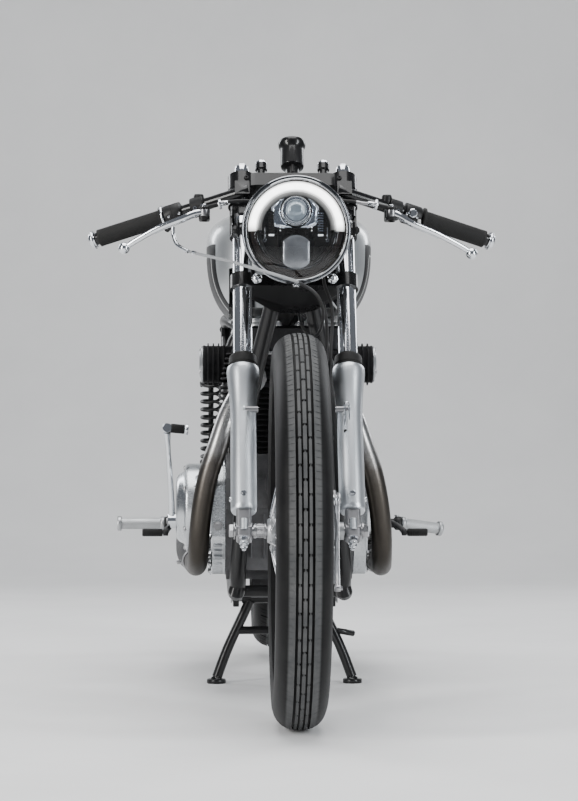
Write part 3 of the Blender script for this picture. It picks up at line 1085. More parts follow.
def gauge():
    m = FORK @ Matrix.Translation((0, -6, 0))
    B = Build()
    B.lathe([(0, 697.3), (12, 697.3), (12, 714), (16, 716), (20.4, 718), (21, 720), (21, 752), (21.6, 757), (23.4, 760), (24.6, 763), (24.8, 768), (24.0, 769.8), (22.2, 770), (21.4, 768.4), (21.2, 764)], m, 0, 72)
    B.lathe([(21.2, 764), (0, 764)], m, 2, 72)
    B.ring(m @ Vector((0, 0, 769.2)), m.to_3x3() @ Vector((0, 0, 1)), 23.2, 0.9, 1, 72, 8)
    for k in range(41):                             # scale marks
        a = rad(225 - 270 * k / 40)
        long = k % 5 == 0
        c, s = math.cos(a), math.sin(a)
        mm = m @ Matrix.Translation((0, 0, 764.1)) @ Matrix.Rotation(a, 4, "Z")
        B.block((15.6 if long else 17.6, -0.3 if long else -0.16, 0), (19.6, 0.3 if long else 0.16, 0.3), mm, 3, 0.05)
    mm = m @ Matrix.Translation((0, 0, 765.4)) @ Matrix.Rotation(rad(225), 4, "Z")
    B.prism([(-4, -0.9), (16, -0.25), (16, 0.25), (-4, 0.9)], 0.5, mm, 4, 0.05)
    B.lathe([(0, 767), (2.4, 766.8), (2.6, 764.2)], m, 0, 20)
    B.rod(m @ Vector((0, -12, 700)), m @ Vector((0, -12, 718)), 3.0, 5, 12)
    B.done("gauge_body", "steering", ["black_gloss", "chrome", "dial_face", "dial_mark", "red_lens", "cable_black"], ["speedometer"], angle=40)
    B = Build()
    B.lathe([(21.6, 768.4), (14, 769.0), (0, 769.3)], m, 0, 48)
    B.done("gauge_glass", "steering", ["clear_glass"])
    add_numbers(m)


def add_numbers(m):
    """Plain numbers on the dial."""
    for k in range(0, 9, 2):
        a = rad(225 - 270 * k / 8)
        cu = bpy.data.curves.new("dial_number_%d" % (k * 20), "FONT")
        cu.body = str(k * 20)
        cu.size = 0.0042
        cu.align_x = "CENTER"
        cu.align_y = "CENTER"
        cu.extrude = 0.00006
        ob = bpy.data.objects.new("dial_number_%d" % (k * 20), cu)
        bpy.context.collection.objects.link(ob)
        p = m @ Vector((12.4 * math.cos(a), 12.4 * math.sin(a), 764.4))
        r = (m.to_3x3()).to_4x4()
        ob.matrix_world = Matrix.Translation(p * MM) @ r
        cu.materials.append(MATS["dial_mark"])
        bpy.context.view_layer.update()
        dg = bpy.context.evaluated_depsgraph_get()
        me = bpy.data.meshes.new_from_object(ob.evaluated_get(dg))
        o2 = bpy.data.objects.new("dial_digits_%d" % (k * 20), me)
        o2.matrix_world = ob.matrix_world.copy()
        bpy.context.collection.objects.link(o2)
        bpy.data.objects.remove(ob)
        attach(o2, "steering")


def bars():
    ax = (Vector((352, -372, 843)) - Vector((78, -440, 925))).normalized()
    from_cad("handlebars", "clip_on_bars", "black_gloss", 0.8, 2)
    # grips with a diamond pattern
    B = Build()
    for s in (1, -1):
        axis = Vector((s * ax.x, ax.y, ax.z))
        m = frame_at(bar_point(s, 168), axis)
        n, rows = 104, 132
        v, f = [], []
        L = 120.0
        for i in range(rows + 1):
            z = L * i / rows
            end = min(1.0, min(z - 3, L - 4 - z) / 3.0)
            for k in range(n):
                a = 2 * math.pi * k / n
                pat = abs(math.sin(a * 13 + z * 0.74)) * abs(math.sin(a * 13 - z * 0.74))
                r = 14.4 + (1.25 * pat if end > 0 else 1.0)
                if end <= 0:
                    r = 15.6
                v.append((r * math.cos(a), r * math.sin(a), z))
        for i in range(rows):
            for k in range(n):
                a, b = i * n + k, i * n + (k + 1) % n
                f.append([a, b, b + n, a + n])
        B.add(v, f, 0, m)
        B.lathe([(11.05, 120.1), (15.4, 120.1), (15.6, 119)], m, 0, 64)
        B.lathe([(11.05, -4), (19.4, -4), (20, -3.4), (20, -0.6), (19.4, 0), (16.4, 0.2)], m, 0, 64)
        # bar end: turned weight with a thin flange
        e = frame_at(bar_point(s, BAR_LEN), axis)
        B.lathe([(0, 0.2), (13, 0.2), (14, 1), (14, 3), (16.6, 3.2), (17, 3.8), (17, 6.2), (16.6, 6.8), (13.6, 7.2), (12.6, 10.4), (10.5, 12), (5, 12), (4.4, 9.6), (0, 9.6)], e, 1, 56)
    B.done("grips_knurled", "steering", ["rubber_black", "chrome"], ["handlebar_grips"], angle=50)

    # perches, switch blocks
    B = Build()
    for s in (1, -1):
        axis = Vector((s * ax.x, ax.y, ax.z))
        c1 = frame_at(bar_point(s, 98 if s > 0 else 85), axis)
        pv = PIVOT[s] * s
        B.lathe([(11.1, 0), (16.6, 0), (18, 1.4), (18, 22.6), (16.6, 24), (11.1, 24)], c1, 0, 48, closed=True)
        # body reaching forward to the lever pivot
        B.block((pv - 10, -446, 870), (pv + 10, -424, 894), None, 0, 2.0, 3)
        B.block((pv - 9.5, -479, 888.2), (pv + 9.5, -430, 893.5), None, 0, 1.2, 8)
        B.block((pv - 9.5, -479, 869.5), (pv + 9.5, -430, 875.8), None, 0, 1.2, 8)
        B.hexnut((pv, -470, 893.4), (0, 0, 1), 4.6, 3.0, 1, dome=1.2)
        B.hexnut((pv, -470, 869.5), (0, 0, -1), 4.6, 2.6, 0)
        # clamp bolts
        for k in ((103, 117) if s > 0 else (90, 104)):
            q = bar_point(s, k, dy=-15, dz=-3)
            B.cap(q, (0, -1, 0.1), 3.6, 5.4, 1)
        # mirror boss with its thread
        mm = frame_at((s * 168, -417.7, 902), (0, 0, 1))
        B.lathe([(0, 0), (9.4, 0), (9.4, 13), (8.9, 15.6), (8.0, 17.2), (7.0, 17.8), (5.6, 18), (5.0, 17.4), (5.0, 9.8), (0, 9.8)], mm, 0, 40)
        for k in range(5):
            B.ring(mm @ Vector((0, 0, 10.6 + 1.4 * k)), (0, 0, 1), 5.0, 0.35, 1, 28, 5)
        # switch or throttle block
        c2 = frame_at(bar_point(s, 128), axis)
        B.lathe([(11.1, 0), (16, 0), (18.4, 1.2), (19, 3), (19, 14.6), (18.4, 15), (18.4, 15.6), (19, 16), (19, 29), (18.2, 31), (16, 32), (11.1, 32)], c2, 0, 48, closed=True)
        for k in (6, 26):
            B.screw(c2 @ Vector((0, 0, k)) + Vector((0, -18.6, -3)), (0, -1, -0.15), 2.6, 2.2, 1)
        if s < 0:
            # throttle: flange next to the grip, and the cable elbow below
            B.lathe([(17, 32), (21.4, 32.4), (22, 33.4), (22, 35.4), (21.4, 36.2), (17, 36.2)], c2, 1, 48)
            B.rod(c2 @ Vector((0, 0, 22)) + Vector((0, 2, -17)), Vector((-226, -392, 858)), 5.4, 0, 20, ch=0.8)
        else:
            # button in a chrome ring, and a small pale switch
            q = c2 @ Vector((0, 0, 18)) + Vector((0, -18, 2))
            B.lathe([(0, 2.2), (4.8, 2.6), (5.6, 1.6), (5.8, 4.2), (6.8, 5.2), (8.0, 4.2), (8.4, 0), (0, 0)], frame_at(q, (0, -1, 0.05)), 1, 32)
            q = c2 @ Vector((0, 0, 30)) + Vector((0, -16, -9))
            B.block((-3, -4, 0), (3, 4, 4), frame_at(q, (0.1, -1, -0.2)), 3, 0.8)
        # cable adjuster ahead of the perch
        start = Vector((145, -474.5, 896.5)) if s > 0 else Vector((-131, -474.5, 897))
        d = Vector((s * -22, -2, 4)).normalized()
        B.rod(Vector((pv, -472, 891)), start, 3.6, 0, 16)
        B.lathe([(0, 0), (8.4, 0), (8.8, 0.8), (8.8, 4.2), (8.4, 5), (4.4, 5), (4.2, 16), (3.4, 17), (0, 17)], frame_at(start - d * 2, d), 1, 28)
        for k in range(18):
            a = 2 * math.pi * k / 18
            q = frame_at(start - d * 2, d)
            B.rod(q @ Vector((8.7 * math.cos(a), 8.7 * math.sin(a), 0.9)), q @ Vector((8.7 * math.cos(a), 8.7 * math.sin(a), 4.1)), 0.5, 1, 5)
    B.done("control_perches", "steering", ["black_satin", "chrome", "rubber_black", "dial_mark"], ["lever_perches"], angle=38)

    # levers: thick at the pivot, flat blade, ball end
    B = Build()
    for s in (1, -1):
        pts = smooth_path(LEVER[s], 6)
        c = len(pts)
        rs = [8.0 - 1.4 * (i / c) - (1.0 if i > c * 0.55 else i / c * 1.8) for i in range(c)]
        B.tube(pts, rs, 0, 20, flat=(0.62, 0.86))
        B.lathe([(0, 0), (9.0, 0), (9.2, 0.6), (9.2, 11), (9.0, 11.6), (0, 11.6)], Matrix.Translation((s * PIVOT[s], -470, 876.2)), 1, 40)
        ball = [(10.4 * math.sin(math.pi * k / 16), -10.4 * math.cos(math.pi * k / 16)) for k in range(17)]
        ball[0], ball[-1] = (0, -10.4), (0, 10.4)
        B.lathe(ball, Matrix.Translation(BALL[s]), 0, 40)
        # finger shelf below the blade
        low = [Vector((p.x, p.y + 2.5, p.z - 4.4)) for p in pts[8:26]]
        B.tube(low, [2.6] * len(low), 0, 12, flat=(0.8, 1.0))
    B.done("levers_blade", "steering", ["chrome", "alloy_dark"], ["hand_levers"], angle=50)

    cables()


def ferrule(B, p, d, r, l, mat):
    B.lathe([(0, 0), (r, 0), (r, l * 0.6), (r * 0.86, l * 0.64), (r * 0.86, l), (0, l)], frame_at(p, d), mat, 20)


def cables():
    # front brake cable
    B = Build()
    path = smooth_path(BRAKE, 10)
    B.tube(path, 3.0, 0, 12)
    ferrule(B, path[0], path[2] - path[0], 4.4, 16, 1)
    ferrule(B, path[-1], path[-3] - path[-1], 4.2, 20, 1)
    for i in (124, 136):                               # clips that hold it to the leg
        B.lathe([(3.0, -4), (4.2, -4), (4.2, 4), (3.0, 4)], frame_at(path[i], path[i + 1] - path[i - 1]), 2, 20, closed=True)
    B.done("cable_front_brake", "steering", ["cable_black", "steel", "black_satin"], ["control_cables"], angle=50)
    # throttle: elbow tube, pale sheath in front, then on under the tank; it bends across the steering joint
    B = Build()
    path = smooth_path(THROTTLE, 10)
    elbow = path[:31]
    B.tube(elbow, 3.6, 1, 14)
    ferrule(B, elbow[-1], elbow[-1] - elbow[-4], 4.2, 9, 1)
    rest = smooth_path(THROTTLE[3:] + THROTTLE_TAIL, 10)
    B.tube(rest[:58], 2.7, 2, 12)
    B.tube(rest[57:], 3.0, 0, 12)
    ferrule(B, rest[9], rest[11] - rest[9], 3.7, 8, 1)
    ferrule(B, rest[-1], rest[-3] - rest[-1], 4.2, 12, 1)
    ob = B.done("cable_throttle", "steering", ["cable_black", "chrome", "cable_pale"], angle=50)
    unride(ob)
    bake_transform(ob)
    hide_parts("engine_cables")
    # clutch
    B = Build()
    path = smooth_path(CLUTCH + CLUTCH_TAIL, 10)
    B.tube(path[:26], 3.0, 1, 12)
    B.tube(path[25:], 3.0, 0, 12)
    ferrule(B, path[0], path[2] - path[0], 4.4, 16, 1)
    ferrule(B, path[-1], path[-3] - path[-1], 4.2, 18, 1)
    ferrule(B, Vector((44, -473.1, 764.3)), Vector((0, -0.454, -0.891)) * -1, 5.2, 8, 0)
    ob = B.done("cable_clutch", "steering", ["cable_black", "steel"], angle=50)
    unride(ob)
    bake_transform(ob)


def unride(ob):
    """Takes a finished piece off its body, so that it can be blended between two."""
    m = ob.matrix_world.copy()
    ob.parent = None
    ob.matrix_world = m
    if "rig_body" in ob:
        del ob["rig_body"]


# ------------------------------------------------------------------ bodywork
TANK = [(-322, 764, 872, 62, 0.50, 2.6), (-312, 736, 884, 92, 0.55, 2.6), (-292, 704, 896, 122, 0.62, 2.6), (-256, 686, 906, 144, 0.68, 2.6),
        (-204, 678, 914, 153, 0.70, 2.6), (-140, 677, 914, 155, 0.70, 2.6), (-70, 680, 908, 152, 0.70, 2.6), (0, 688, 894, 143, 0.68, 2.6),
        (70, 702, 870, 125, 0.62, 2.6), (124, 718, 842, 103, 0.56, 2.6), (156, 736, 818, 83, 0.52, 2.6), (166, 752, 802, 63, 0.50, 2.6)]
COWL = [(502, 750, 836, 106, 0.35, 3), (516, 748.5, 864, 118, 0.35, 2.8), (560, 748.5, 872, 120, 0.35, 2.6), (620, 754, 862, 112, 0.35, 2.5),
        (680, 764, 838, 92, 0.4, 2.4), (724, 774, 816, 64, 0.45, 2.3), (740, 784, 802, 38, 0.5, 2.2)]
PAD = [(174, 765, 786, 62, 0.5, 3), (186, 763, 800, 82, 0.5, 3.4), (240, 753, 804, 104, 0.5, 3.6), (330, 753, 800, 116, 0.5, 3.6),
       (430, 753, 802, 118, 0.5, 3.6), (486, 753, 810, 114, 0.5, 3.4), (500, 756, 804, 108, 0.5, 3)]


def smooth_rows(rows, n):
    """More sections between the given ones, on smooth curves."""
    out = []
    for i in range(len(rows) - 1):
        a, b, c, d = rows[max(i - 1, 0)], rows[i], rows[i + 1], rows[min(i + 2, len(rows) - 1)]
        for k in range(n):
            t = k / n
            out.append(tuple(0.5 * ((2 * q) + (r - p) * t + (2 * p - 5 * q + 4 * r - s) * t * t + (3 * q - p - 3 * r + s) * t ** 3) for p, q, r, s in zip(a, b, c, d)))
    return out + [rows[-1]]


def section(r, m, shape=None):
    y, zb, zt, hw, share, e = r
    zm = zb + (zt - zb) * share
    out = []
    for k in range(m):
        a = 2 * math.pi * k / m
        c, s = math.cos(a), math.sin(a)
        h = zt - zm if s > 0 else zm - zb
        x = hw * math.copysign(abs(c) ** (2 / e), c)
        z = zm + h * math.copysign(abs(s) ** (2 / e), s)
        out.append(shape(x, y, z) if shape else (x, y, z))
    return out


def loft(rows, m, shape=None):
    v = [p for r in rows for p in section(r, m, shape)]
    f = []
    n = len(rows)
    for i in range(n - 1):
        for k in range(m):
            a, b = i * m + k, i * m + (k + 1) % m
            f.append([a, b, b + m, a + m])
    f.append([k for k in range(m)][::-1])
    f.append([(n - 1) * m + k for k in range(m)])
    return v, f


def clip(ob, others, keep=False):
    """Cuts other pieces out of ob with exact booleans, applied."""
    for o in others:
        md = ob.modifiers.new("cut", "BOOLEAN")
        md.operation = "DIFFERENCE"
        md.solver = "EXACT"
        md.object = o
    dg = bpy.context.evaluated_depsgraph_get()
    me = bpy.data.meshes.new_from_object(ob.evaluated_get(dg))
    ob.modifiers.clear()
    old = ob.data
    ob.data = me
    bpy.data.meshes.remove(old)
    if not keep:
        for o in others:
            bpy.data.objects.remove(o)
    return ob


def raw(name, v, f):
    me = bpy.data.meshes.new(name)
    me.from_pydata([(x * MM, y * MM, z * MM) for x, y, z in v], [], f)
    me.validate()
    ob = bpy.data.objects.new(name, me)
    bpy.context.collection.objects.link(ob)
    return ob


def tank():
    def shape(x, y, z):
        # knee recess on each flank, and a soft pinch at the lower edge
        k = math.exp(-((y - 40) / 92) ** 2) * math.exp(-((z - 770) / 58) ** 2)
        x -= math.copysign(13 * k, x) * (1 if abs(x) > 40 else abs(x) / 40)
        return (x, y, z)
    rows = smooth_rows(TANK, 5)
    v, f = loft(rows, 120, shape)
    ob = raw("tank_shell", v, f)
    cut = []
    m = Matrix.Translation((0, -372, 847)) @ Matrix.Rotation(rad(-11.4), 4, "X")
    B = Build()
    B.block((-40, -40, -260), (40, 660, 30), m, 0, 0)
    cut.append(raw("tank_cut_a", B.v, B.f))
    B = Build()
    B.block((-113, -360, 600), (113, 240, 726), None, 0, 0)
    cut.append(raw("tank_cut_b", B.v, B.f))
    B = Build()
    B.block((-113, -360, 700), (113, -264, 796), None, 0, 0)
    cut.append(raw("tank_cut_c", B.v, B.f))
    clip(ob, cut)
    me = ob.data
    me.materials.clear()
    me.materials.append(MATS["silver_paint"])
    me.polygons.foreach_set("use_smooth", [True] * len(me.polygons))
    me.polygons.foreach_set("material_index", [0] * len(me.polygons))
    me.set_sharp_from_angle(angle=rad(35))
    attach(ob, "chassis")
    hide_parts("fuel_tank")
    # seam lip along the bottom, badge-free; front mounts; cap
    B = Build()
    for s in (1, -1):
        path = []
        for r in rows[6:-6]:
            y, zb, zt, hw, share, e = r
            a = rad(-52)
            zm = zb + (zt - zb) * share
            x = hw * abs(math.cos(a)) ** (2 / e)
            z = zm - (zm - zb) * abs(math.sin(a)) ** (2 / e)
            p = shape(x, y, z)
            path.append((s * (p[0] + 0.6), p[1], p[2] - 0.6))
        B.tube(path, 1.9, 0, 8)
    B.done("tank_seam", "chassis", ["silver_paint"], angle=60)
    B = Build()
    c = Matrix.Translation((0, -70, 0))
    B.lathe([(0, 899), (38, 899), (38, 906.5), (36, 908.5), (34, 909)], c, 1, 72)
    B.lathe([(26, 905), (33, 907.5), (33, 909.5), (34.5, 911), (35, 913), (35, 919), (34.4, 921.5), (31, 923.4), (24, 924.6), (23, 923.8), (22, 923.8), (21, 924.8), (0, 925)], c, 0, 72)
    for k in range(44):
        a = 2 * math.pi * k / 44
        B.rod((34.9 * math.cos(a), -70 + 34.9 * math.sin(a), 912), (34.9 * math.cos(a), -70 + 34.9 * math.sin(a), 920.5), 0.8, 0, 5)
    B.lathe([(0, 925), (6, 925), (6, 926.2), (4.6, 926.4), (4.2, 925.6), (0, 925.6)], c, 2, 24)
    B.done("tank_cap", "chassis", ["chrome", "black_satin", "steel"], ["fuel_cap"], angle=40)


def seat():
    # pad: start smaller than the CAD solid, swell with cloth, then seams and channels
    rows = smooth_rows(PAD, 4)
    def shrink(x, y, z):
        zc = 753.5
        return (x * 0.955, 338 + (y - 338) * 0.985, zc + (z - zc) * 0.86)
    v, f = loft(rows, 72, shrink)
    ob = raw("seat_cushion", v, f)
    base = 0.7535
    bpy.context.view_layer.objects.active = ob
    md = ob.modifiers.new("remesh", "REMESH")
    md.mode = "VOXEL"
    md.voxel_size = 0.005
    dg = bpy.context.evaluated_depsgraph_get()
    me = bpy.data.meshes.new_from_object(ob.evaluated_get(dg))
    ob.modifiers.clear()
    ob.data = me
    rest = [p.co.copy() for p in me.vertices]
    vg = ob.vertex_groups.new(name="pin")
    for p in me.vertices:
        if p.co.z < base + 0.004:
            vg.add([p.index], 1.0, "REPLACE")
    cl = ob.modifiers.new("cloth", "CLOTH")
    st = cl.settings
    st.quality = 6
    st.mass = 0.3
    st.tension_stiffness = 18
    st.compression_stiffness = 18
    st.bending_stiffness = 0.6
    st.use_pressure = True
    st.uniform_pressure_force = 4.0
    st.effector_weights.gravity = 0.0
    st.vertex_group_mass = "pin"
    sc = bpy.context.scene
    for fr in range(1, 21):
        sc.frame_set(fr)
    dg = bpy.context.evaluated_depsgraph_get()
    me2 = bpy.data.meshes.new_from_object(ob.evaluated_get(dg))
    ob.modifiers.clear()
    ob.vertex_groups.clear()
    cap = 0.009
    for p, r in zip(me2.vertices, rest):
        d = p.co - r
        if d.length > cap:
            p.co = r + d.normalized() * cap
        p.co.z = max(p.co.z, base)
    ob.data = me2
    sc.frame_set(1)
    # sewn channels across the pad, pressed in softly
    me = ob.data
    ys = [0.216 + 0.030 * k for k in range(10)]
    for p in me.vertices:
        top = max(0.0, min(1.0, (p.co.z - 0.766) / 0.02))
        edge = max(0.0, 1 - (abs(p.co.x) / 0.098) ** 8)
        d = sum(math.exp(-((p.co.y - y) / 0.0042) ** 2) for y in ys)
        p.co.z -= 0.0048 * d * top * edge
        side = math.exp(-((abs(p.co.x) - 0.096) / 0.0045) ** 2) * top
        p.co.z -= 0.0035 * side
    me.materials.clear()
    me.materials.append(MATS["seat_leather"])
    me.polygons.foreach_set("use_smooth", [True] * len(me.polygons))
    me.polygons.foreach_set("material_index", [0] * len(me.polygons))
    sub = ob.modifiers.new("subsurf", "SUBSURF")
    sub.levels = sub.render_levels = 1
    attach(ob, "chassis")
    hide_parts("seat_pad")
    # piping round the lower edge, and stitches beside the channels
    B = Build()
    path = []
    for r in rows:
        path.append((r[3] * 0.985, r[0], 757.5))
    path = path + [(-x, y, z) for x, y, z in reversed(path)]
    path = smooth_path(path + [path[0]], 2)
    B.tube(path, 2.2, 0, 8, caps=False)
    dg = bpy.context.evaluated_depsgraph_get()
    ev = ob.evaluated_get(dg)
    for y in ys:
        for k in range(-15, 16):
            x = k * 5.9
            for dy in (-4.6, 4.6):
                hit, loc, nor, idx = ev.ray_cast(Vector((x * MM, y + dy * MM, 0.9)), Vector((0, 0, -1)))
                if hit:
                    q = loc / MM
                    B.rod((q.x - 1.7, q.y, q.z + 0.15), (q.x + 1.7, q.y, q.z + 0.15), 0.42, 1, 5)
    B.done("seat_piping", "chassis", ["seat_leather", "thread"], angle=50)
    # tail hump
    rows = smooth_rows(COWL, 5)
    v, f = loft(rows, 112)
    ob = raw("seat_hump", v, f)
    B = Build()
    B.rod((0, 736, 793), (0, 760, 793), 26.4, 0, 48)
    clip(ob, [raw("hump_cut", B.v, B.f)])
    me = ob.data
    me.materials.clear()
    me.materials.append(MATS["silver_paint"])
    me.polygons.foreach_set("use_smooth", [True] * len(me.polygons))
    me.polygons.foreach_set("material_index", [0] * len(me.polygons))
    me.set_sharp_from_angle(angle=rad(40))
    bv = ob.modifiers.new("bevel", "BEVEL")
    bv.width = 0.003
    bv.segments = 3
    bv.limit_method = "ANGLE"
    bv.angle_limit = rad(50)
    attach(ob, "chassis")
    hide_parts("seat_cowl")
    B = Build()
    B.block((-104, 206, 748), (104, 506, 752.6), None, 0, 1.5, 16)
    for s in (1, -1):
        for y, x in ((530, 119.5), (640, 108.5)):
            B.screw((s * x, y, 776), (s, 0, 0), 4.6, 2.6, 1)
    # upholstered back stop on the hump's front
    v, f = loft([(499.2, 806, 846, 84, 0.5, 3.0), (500.0, 803, 850, 88, 0.5, 3.0), (504, 803, 850, 90, 0.5, 3.0)], 48)
    B.add(v, f, 2)
    B.done("seat_base", "chassis", ["black_satin", "chrome", "seat_leather"])


def rear_end():
    # tail lamp
    B = Build()
    m = frame_at((0, 736.2, 793), (0, 1, 0))
    B.lathe([(0, 0), (26, 0), (26, 11), (25, 13.6), (23.4, 14.4), (22.6, 13.4)], m, 1, 64)
    B.lathe([(22.6, 13), (21.6, 16.4), (18, 18.4), (10, 19.6), (0, 20)], m, 0, 64)
    for r in (6, 11, 16):
        B.ring(m @ Vector((0, 0, 19.4 - r * r * 0.009)), (0, 1, 0), r, 0.7, 0, 48, 6)
    B.done("tail_lamp", "chassis", ["red_lens", "chrome"], ["tail_light"], angle=45)
    from_cad("plate_bracket", "plate_carrier", "black_satin", 0.8, 2)
    B = Build()
    for s in (1, -1):                               # small rear indicators on the plate carrier's stem
        B.rod((s * 20, 742, 733), (s * 60, 742, 733), 3.6, 0, 16, ch=0.5)
        B.lathe([(0, 0), (9, 1), (12, 5), (12.6, 12), (11.8, 22), (10.6, 24)], frame_at((s * 70, 728, 733), (0, 1, 0)), 0, 32)
        B.lathe([(10.6, 24), (8, 27), (4, 28.6), (0, 29)], frame_at((s * 70, 728, 733), (0, 1, 0)), 1, 32)
    B.hexnut((0, 715, 735.6), (0, 0, 1), 4.2, 3, 2)
    B.done("tail_signals", "chassis", ["black_satin", "amber_lens", "steel"])
    # shocks
    B = Build()
    for s in (1, -1):
        a, b = Vector((s * 146, 655, 372)), Vector((s * 146, 560, 665))
        u = (b - a).normalized()
        m = frame_at(a, u)
        L = (b - a).length
        for p in (a, b):
            B.lathe([(6.1, -12), (13, -12), (14, -11), (14, 11), (13, 12), (6.1, 12)], frame_at(p, (1, 0, 0)), 1, 36, closed=True)
            B.lathe([(6.1, -12.4), (9.6, -12.4), (9.6, 12.4), (6.1, 12.4)], frame_at(p, (1, 0, 0)), 3, 28, closed=True)
        B.lathe([(9, 8), (12, 14), (14.6, 20), (15, 28), (15, 60), (22, 60.5), (24, 62), (24.6, 65), (24, 67), (15, 68)], m, 1, 48)
        B.lathe([(15, 44), (23.6, 46), (25, 48), (25, 56), (23.6, 58), (15, 60)], m, 1, 12)           # preload cam
        B.lathe([(6, 60), (6, L - 20)], m, 0, 24)
        B.lathe([(7, L - 62), (17, L - 62), (18.4, L - 60), (18.4, L - 30), (15, L - 22), (9, L - 10), (0, L - 8)], m, 0, 48)
        B.lathe([(10, L - 66), (23, L - 66), (24.6, L - 64), (24.6, L - 61), (23, L - 59.6), (10, L - 59)], m, 0, 48)
        n, turns = 300, 9.5
        zs, ze = 69, L - 68
        path = [m @ Vector((20.5 * math.cos(2 * math.pi * turns * i / n), 20.5 * math.sin(2 * math.pi * turns * i / n), zs + (ze - zs) * i / n)) for i in range(n + 1)]
        B.tube(path, 3.4, 2, 9)
        for p in (a, b):
            B.hexnut((s * 160, p.y, p.z), (s, 0, 0), 8, 5, 0, dome=3)
    B.done("shock_absorbers", "chassis", ["black_gloss", "black_satin", "spring_black", "rubber_black"], ["rear_shocks"], angle=40)
    # swingarm, axle, adjusters
    from_cad("swingarm", "swing_arm", "frame_black", 1.5, 2)
    B = Build()
    B.rod((-128, YR, ZR), (128, YR, ZR), 8.5, 0, 28)
    for s in (1, -1):
        B.hexnut((s * 121.2, YR, ZR), (s, 0, 0), 13.5, 12, 0)
        B.lathe([(9, 0), (17, 0), (17, 2), (9, 2)], frame_at((s * 121.2, YR, ZR), (s, 0, 0)), 0, 32)
        B.rod((s * 112, 738, ZR), (s * 112, 764, ZR), 3.8, 0, 14, ch=0.6)
        B.hexnut((s * 112, 746, ZR), (0, 1, 0), 6.5, 5, 0)
        B.block((s * 112 - 7, 742, ZR - 13), (s * 112 + 7, 746, ZR + 13), None, 0, 1, 2)
    B.done("rear_axle_set", "chassis", ["steel"], ["rear_axle"])
    chain()
    # rear brake plate
    B = Build()
    m = frame_at((-53.8, YR, ZR), (-1, 0, 0))
    B.lathe([(8.6, 0), (88, 0), (88, 4), (86, 6), (80, 6.5), (77, 9.5), (70, 10.5), (62, 10.5), (58, 7), (34, 7), (30, 12), (20, 14), (16, 44), (8.6, 44)], m, 0, 96)
    for k in range(12):
        a = rad(30 * k + 15)
        p = [(36 * math.cos(a), 36 * math.sin(a)), (60 * math.cos(a), 60 * math.sin(a))]
        B.tube([m @ Vector((p[0][0], p[0][1], 8)), m @ Vector((p[1][0], p[1][1], 8))], 2.2, 0, 6)
    B.rod((-60, YR - 62, ZR - 20), (-78, YR - 62, ZR - 20), 8, 0, 24, ch=1)
    B.hexnut((-78, YR - 62, ZR - 20), (-1, 0, 0), 6, 5, 1)
    B.tube(smooth_path([(-74, YR - 62, ZR - 20), (-75, YR - 58, ZR - 60), (-75, YR - 55, ZR - 99)], 5), [7.5 - 0.25 * k for k in range(11)], 0, 14, flat=(0.4, 1.0))
    B.rod((-75, YR - 55, ZR - 99), (-75, 330, ZR - 112), 2.6, 1, 10)
    B.tube(smooth_path([(-66, YR - 40, ZR - 74), (-68, YR - 120, ZR - 80), (-72, 330, 318)], 6), 5.2, 1, 12)
    B.hexnut((-72, YR - 40, ZR - 74), (-1, 0, 0), 6, 5, 1)
    B.done("brake_plate_rear", "chassis", ["alloy", "steel"], ["rear_brake_plate"], angle=35)


def chain():
    """Roller chain round both sprockets."""
    c1, r1, c2, r2 = Vector((60, 385)), 34.0, Vector((YR, ZR)), 93.0
    d = c2 - c1
    L = d.length
    base = math.atan2(d.y, d.x)
    off = math.asin((r2 - r1) / L)
    pts = []
    def arc(c, r, a0, a1, n):
        return [c + Vector((r * math.cos(a0 + (a1 - a0) * i / n), r * math.sin(a0 + (a1 - a0) * i / n))) for i in range(n + 1)]
    up, dn = base + math.pi / 2 + off, base - math.pi / 2 - off
    pts += arc(c2, r2, up, dn, 60)                      # over the rear, top to bottom
    pts += arc(c1, r1, dn, dn - (math.pi - 2 * off), 30)
    pts.append(pts[0])
    seg = [0]
    for i in range(1, len(pts)):
        seg.append(seg[-1] + (pts[i] - pts[i - 1]).length)
    total = seg[-1]
    n = int(total / 15.875 / 2) * 2
    def at(s):
        s %= total
        lo = 0
        while seg[lo + 1] < s:
            lo += 1
        t = (s - seg[lo]) / max(1e-6, seg[lo + 1] - seg[lo])
        return pts[lo].lerp(pts[lo + 1], t)
    B = Build()
    pos = [at(total * i / n) for i in range(n)]
    for i in range(n):
        a, b = pos[i], pos[(i + 1) % n]
        mid = (a + b) / 2
        ang = math.atan2(b.y - a.y, b.x - a.x)
        m = Matrix.Translation((78, mid.x, mid.y)) @ Matrix.Rotation(ang, 4, "X") @ Matrix.Rotation(rad(90), 4, "Z") @ Matrix.Rotation(rad(90), 4, "X")
        h = (b - a).length / 2
        o = []
        for sgn in (1, -1):
            for k in range(7):
                t = rad(-90 + 180 * k / 6)
                o.append((sgn * (h + 6.2 * math.cos(t)), sgn * 6.2 * math.sin(t)))
            o.append((0, sgn * 4.4) if sgn == 1 else (0, -4.4))
        outer = i % 2
        for side in (1, -1):
            x = side * (6.2 if outer else 4.4)
            B.prism(o, 1.5, m @ Matrix.Translation((0, 0, x - 0.75)), 0, 0.25)
        if outer:
            for q in (a, b):
                B.rod((70, q.x, q.y), (86, q.x, q.y), 2.3, 1, 8)
        B.rod((74.6, a.x, a.y), (81.4, a.x, a.y), 4.7, 1, 10)
    B.done("roller_chain", "chassis", ["chain_steel", "steel"], ["drive_chain"], angle=40)


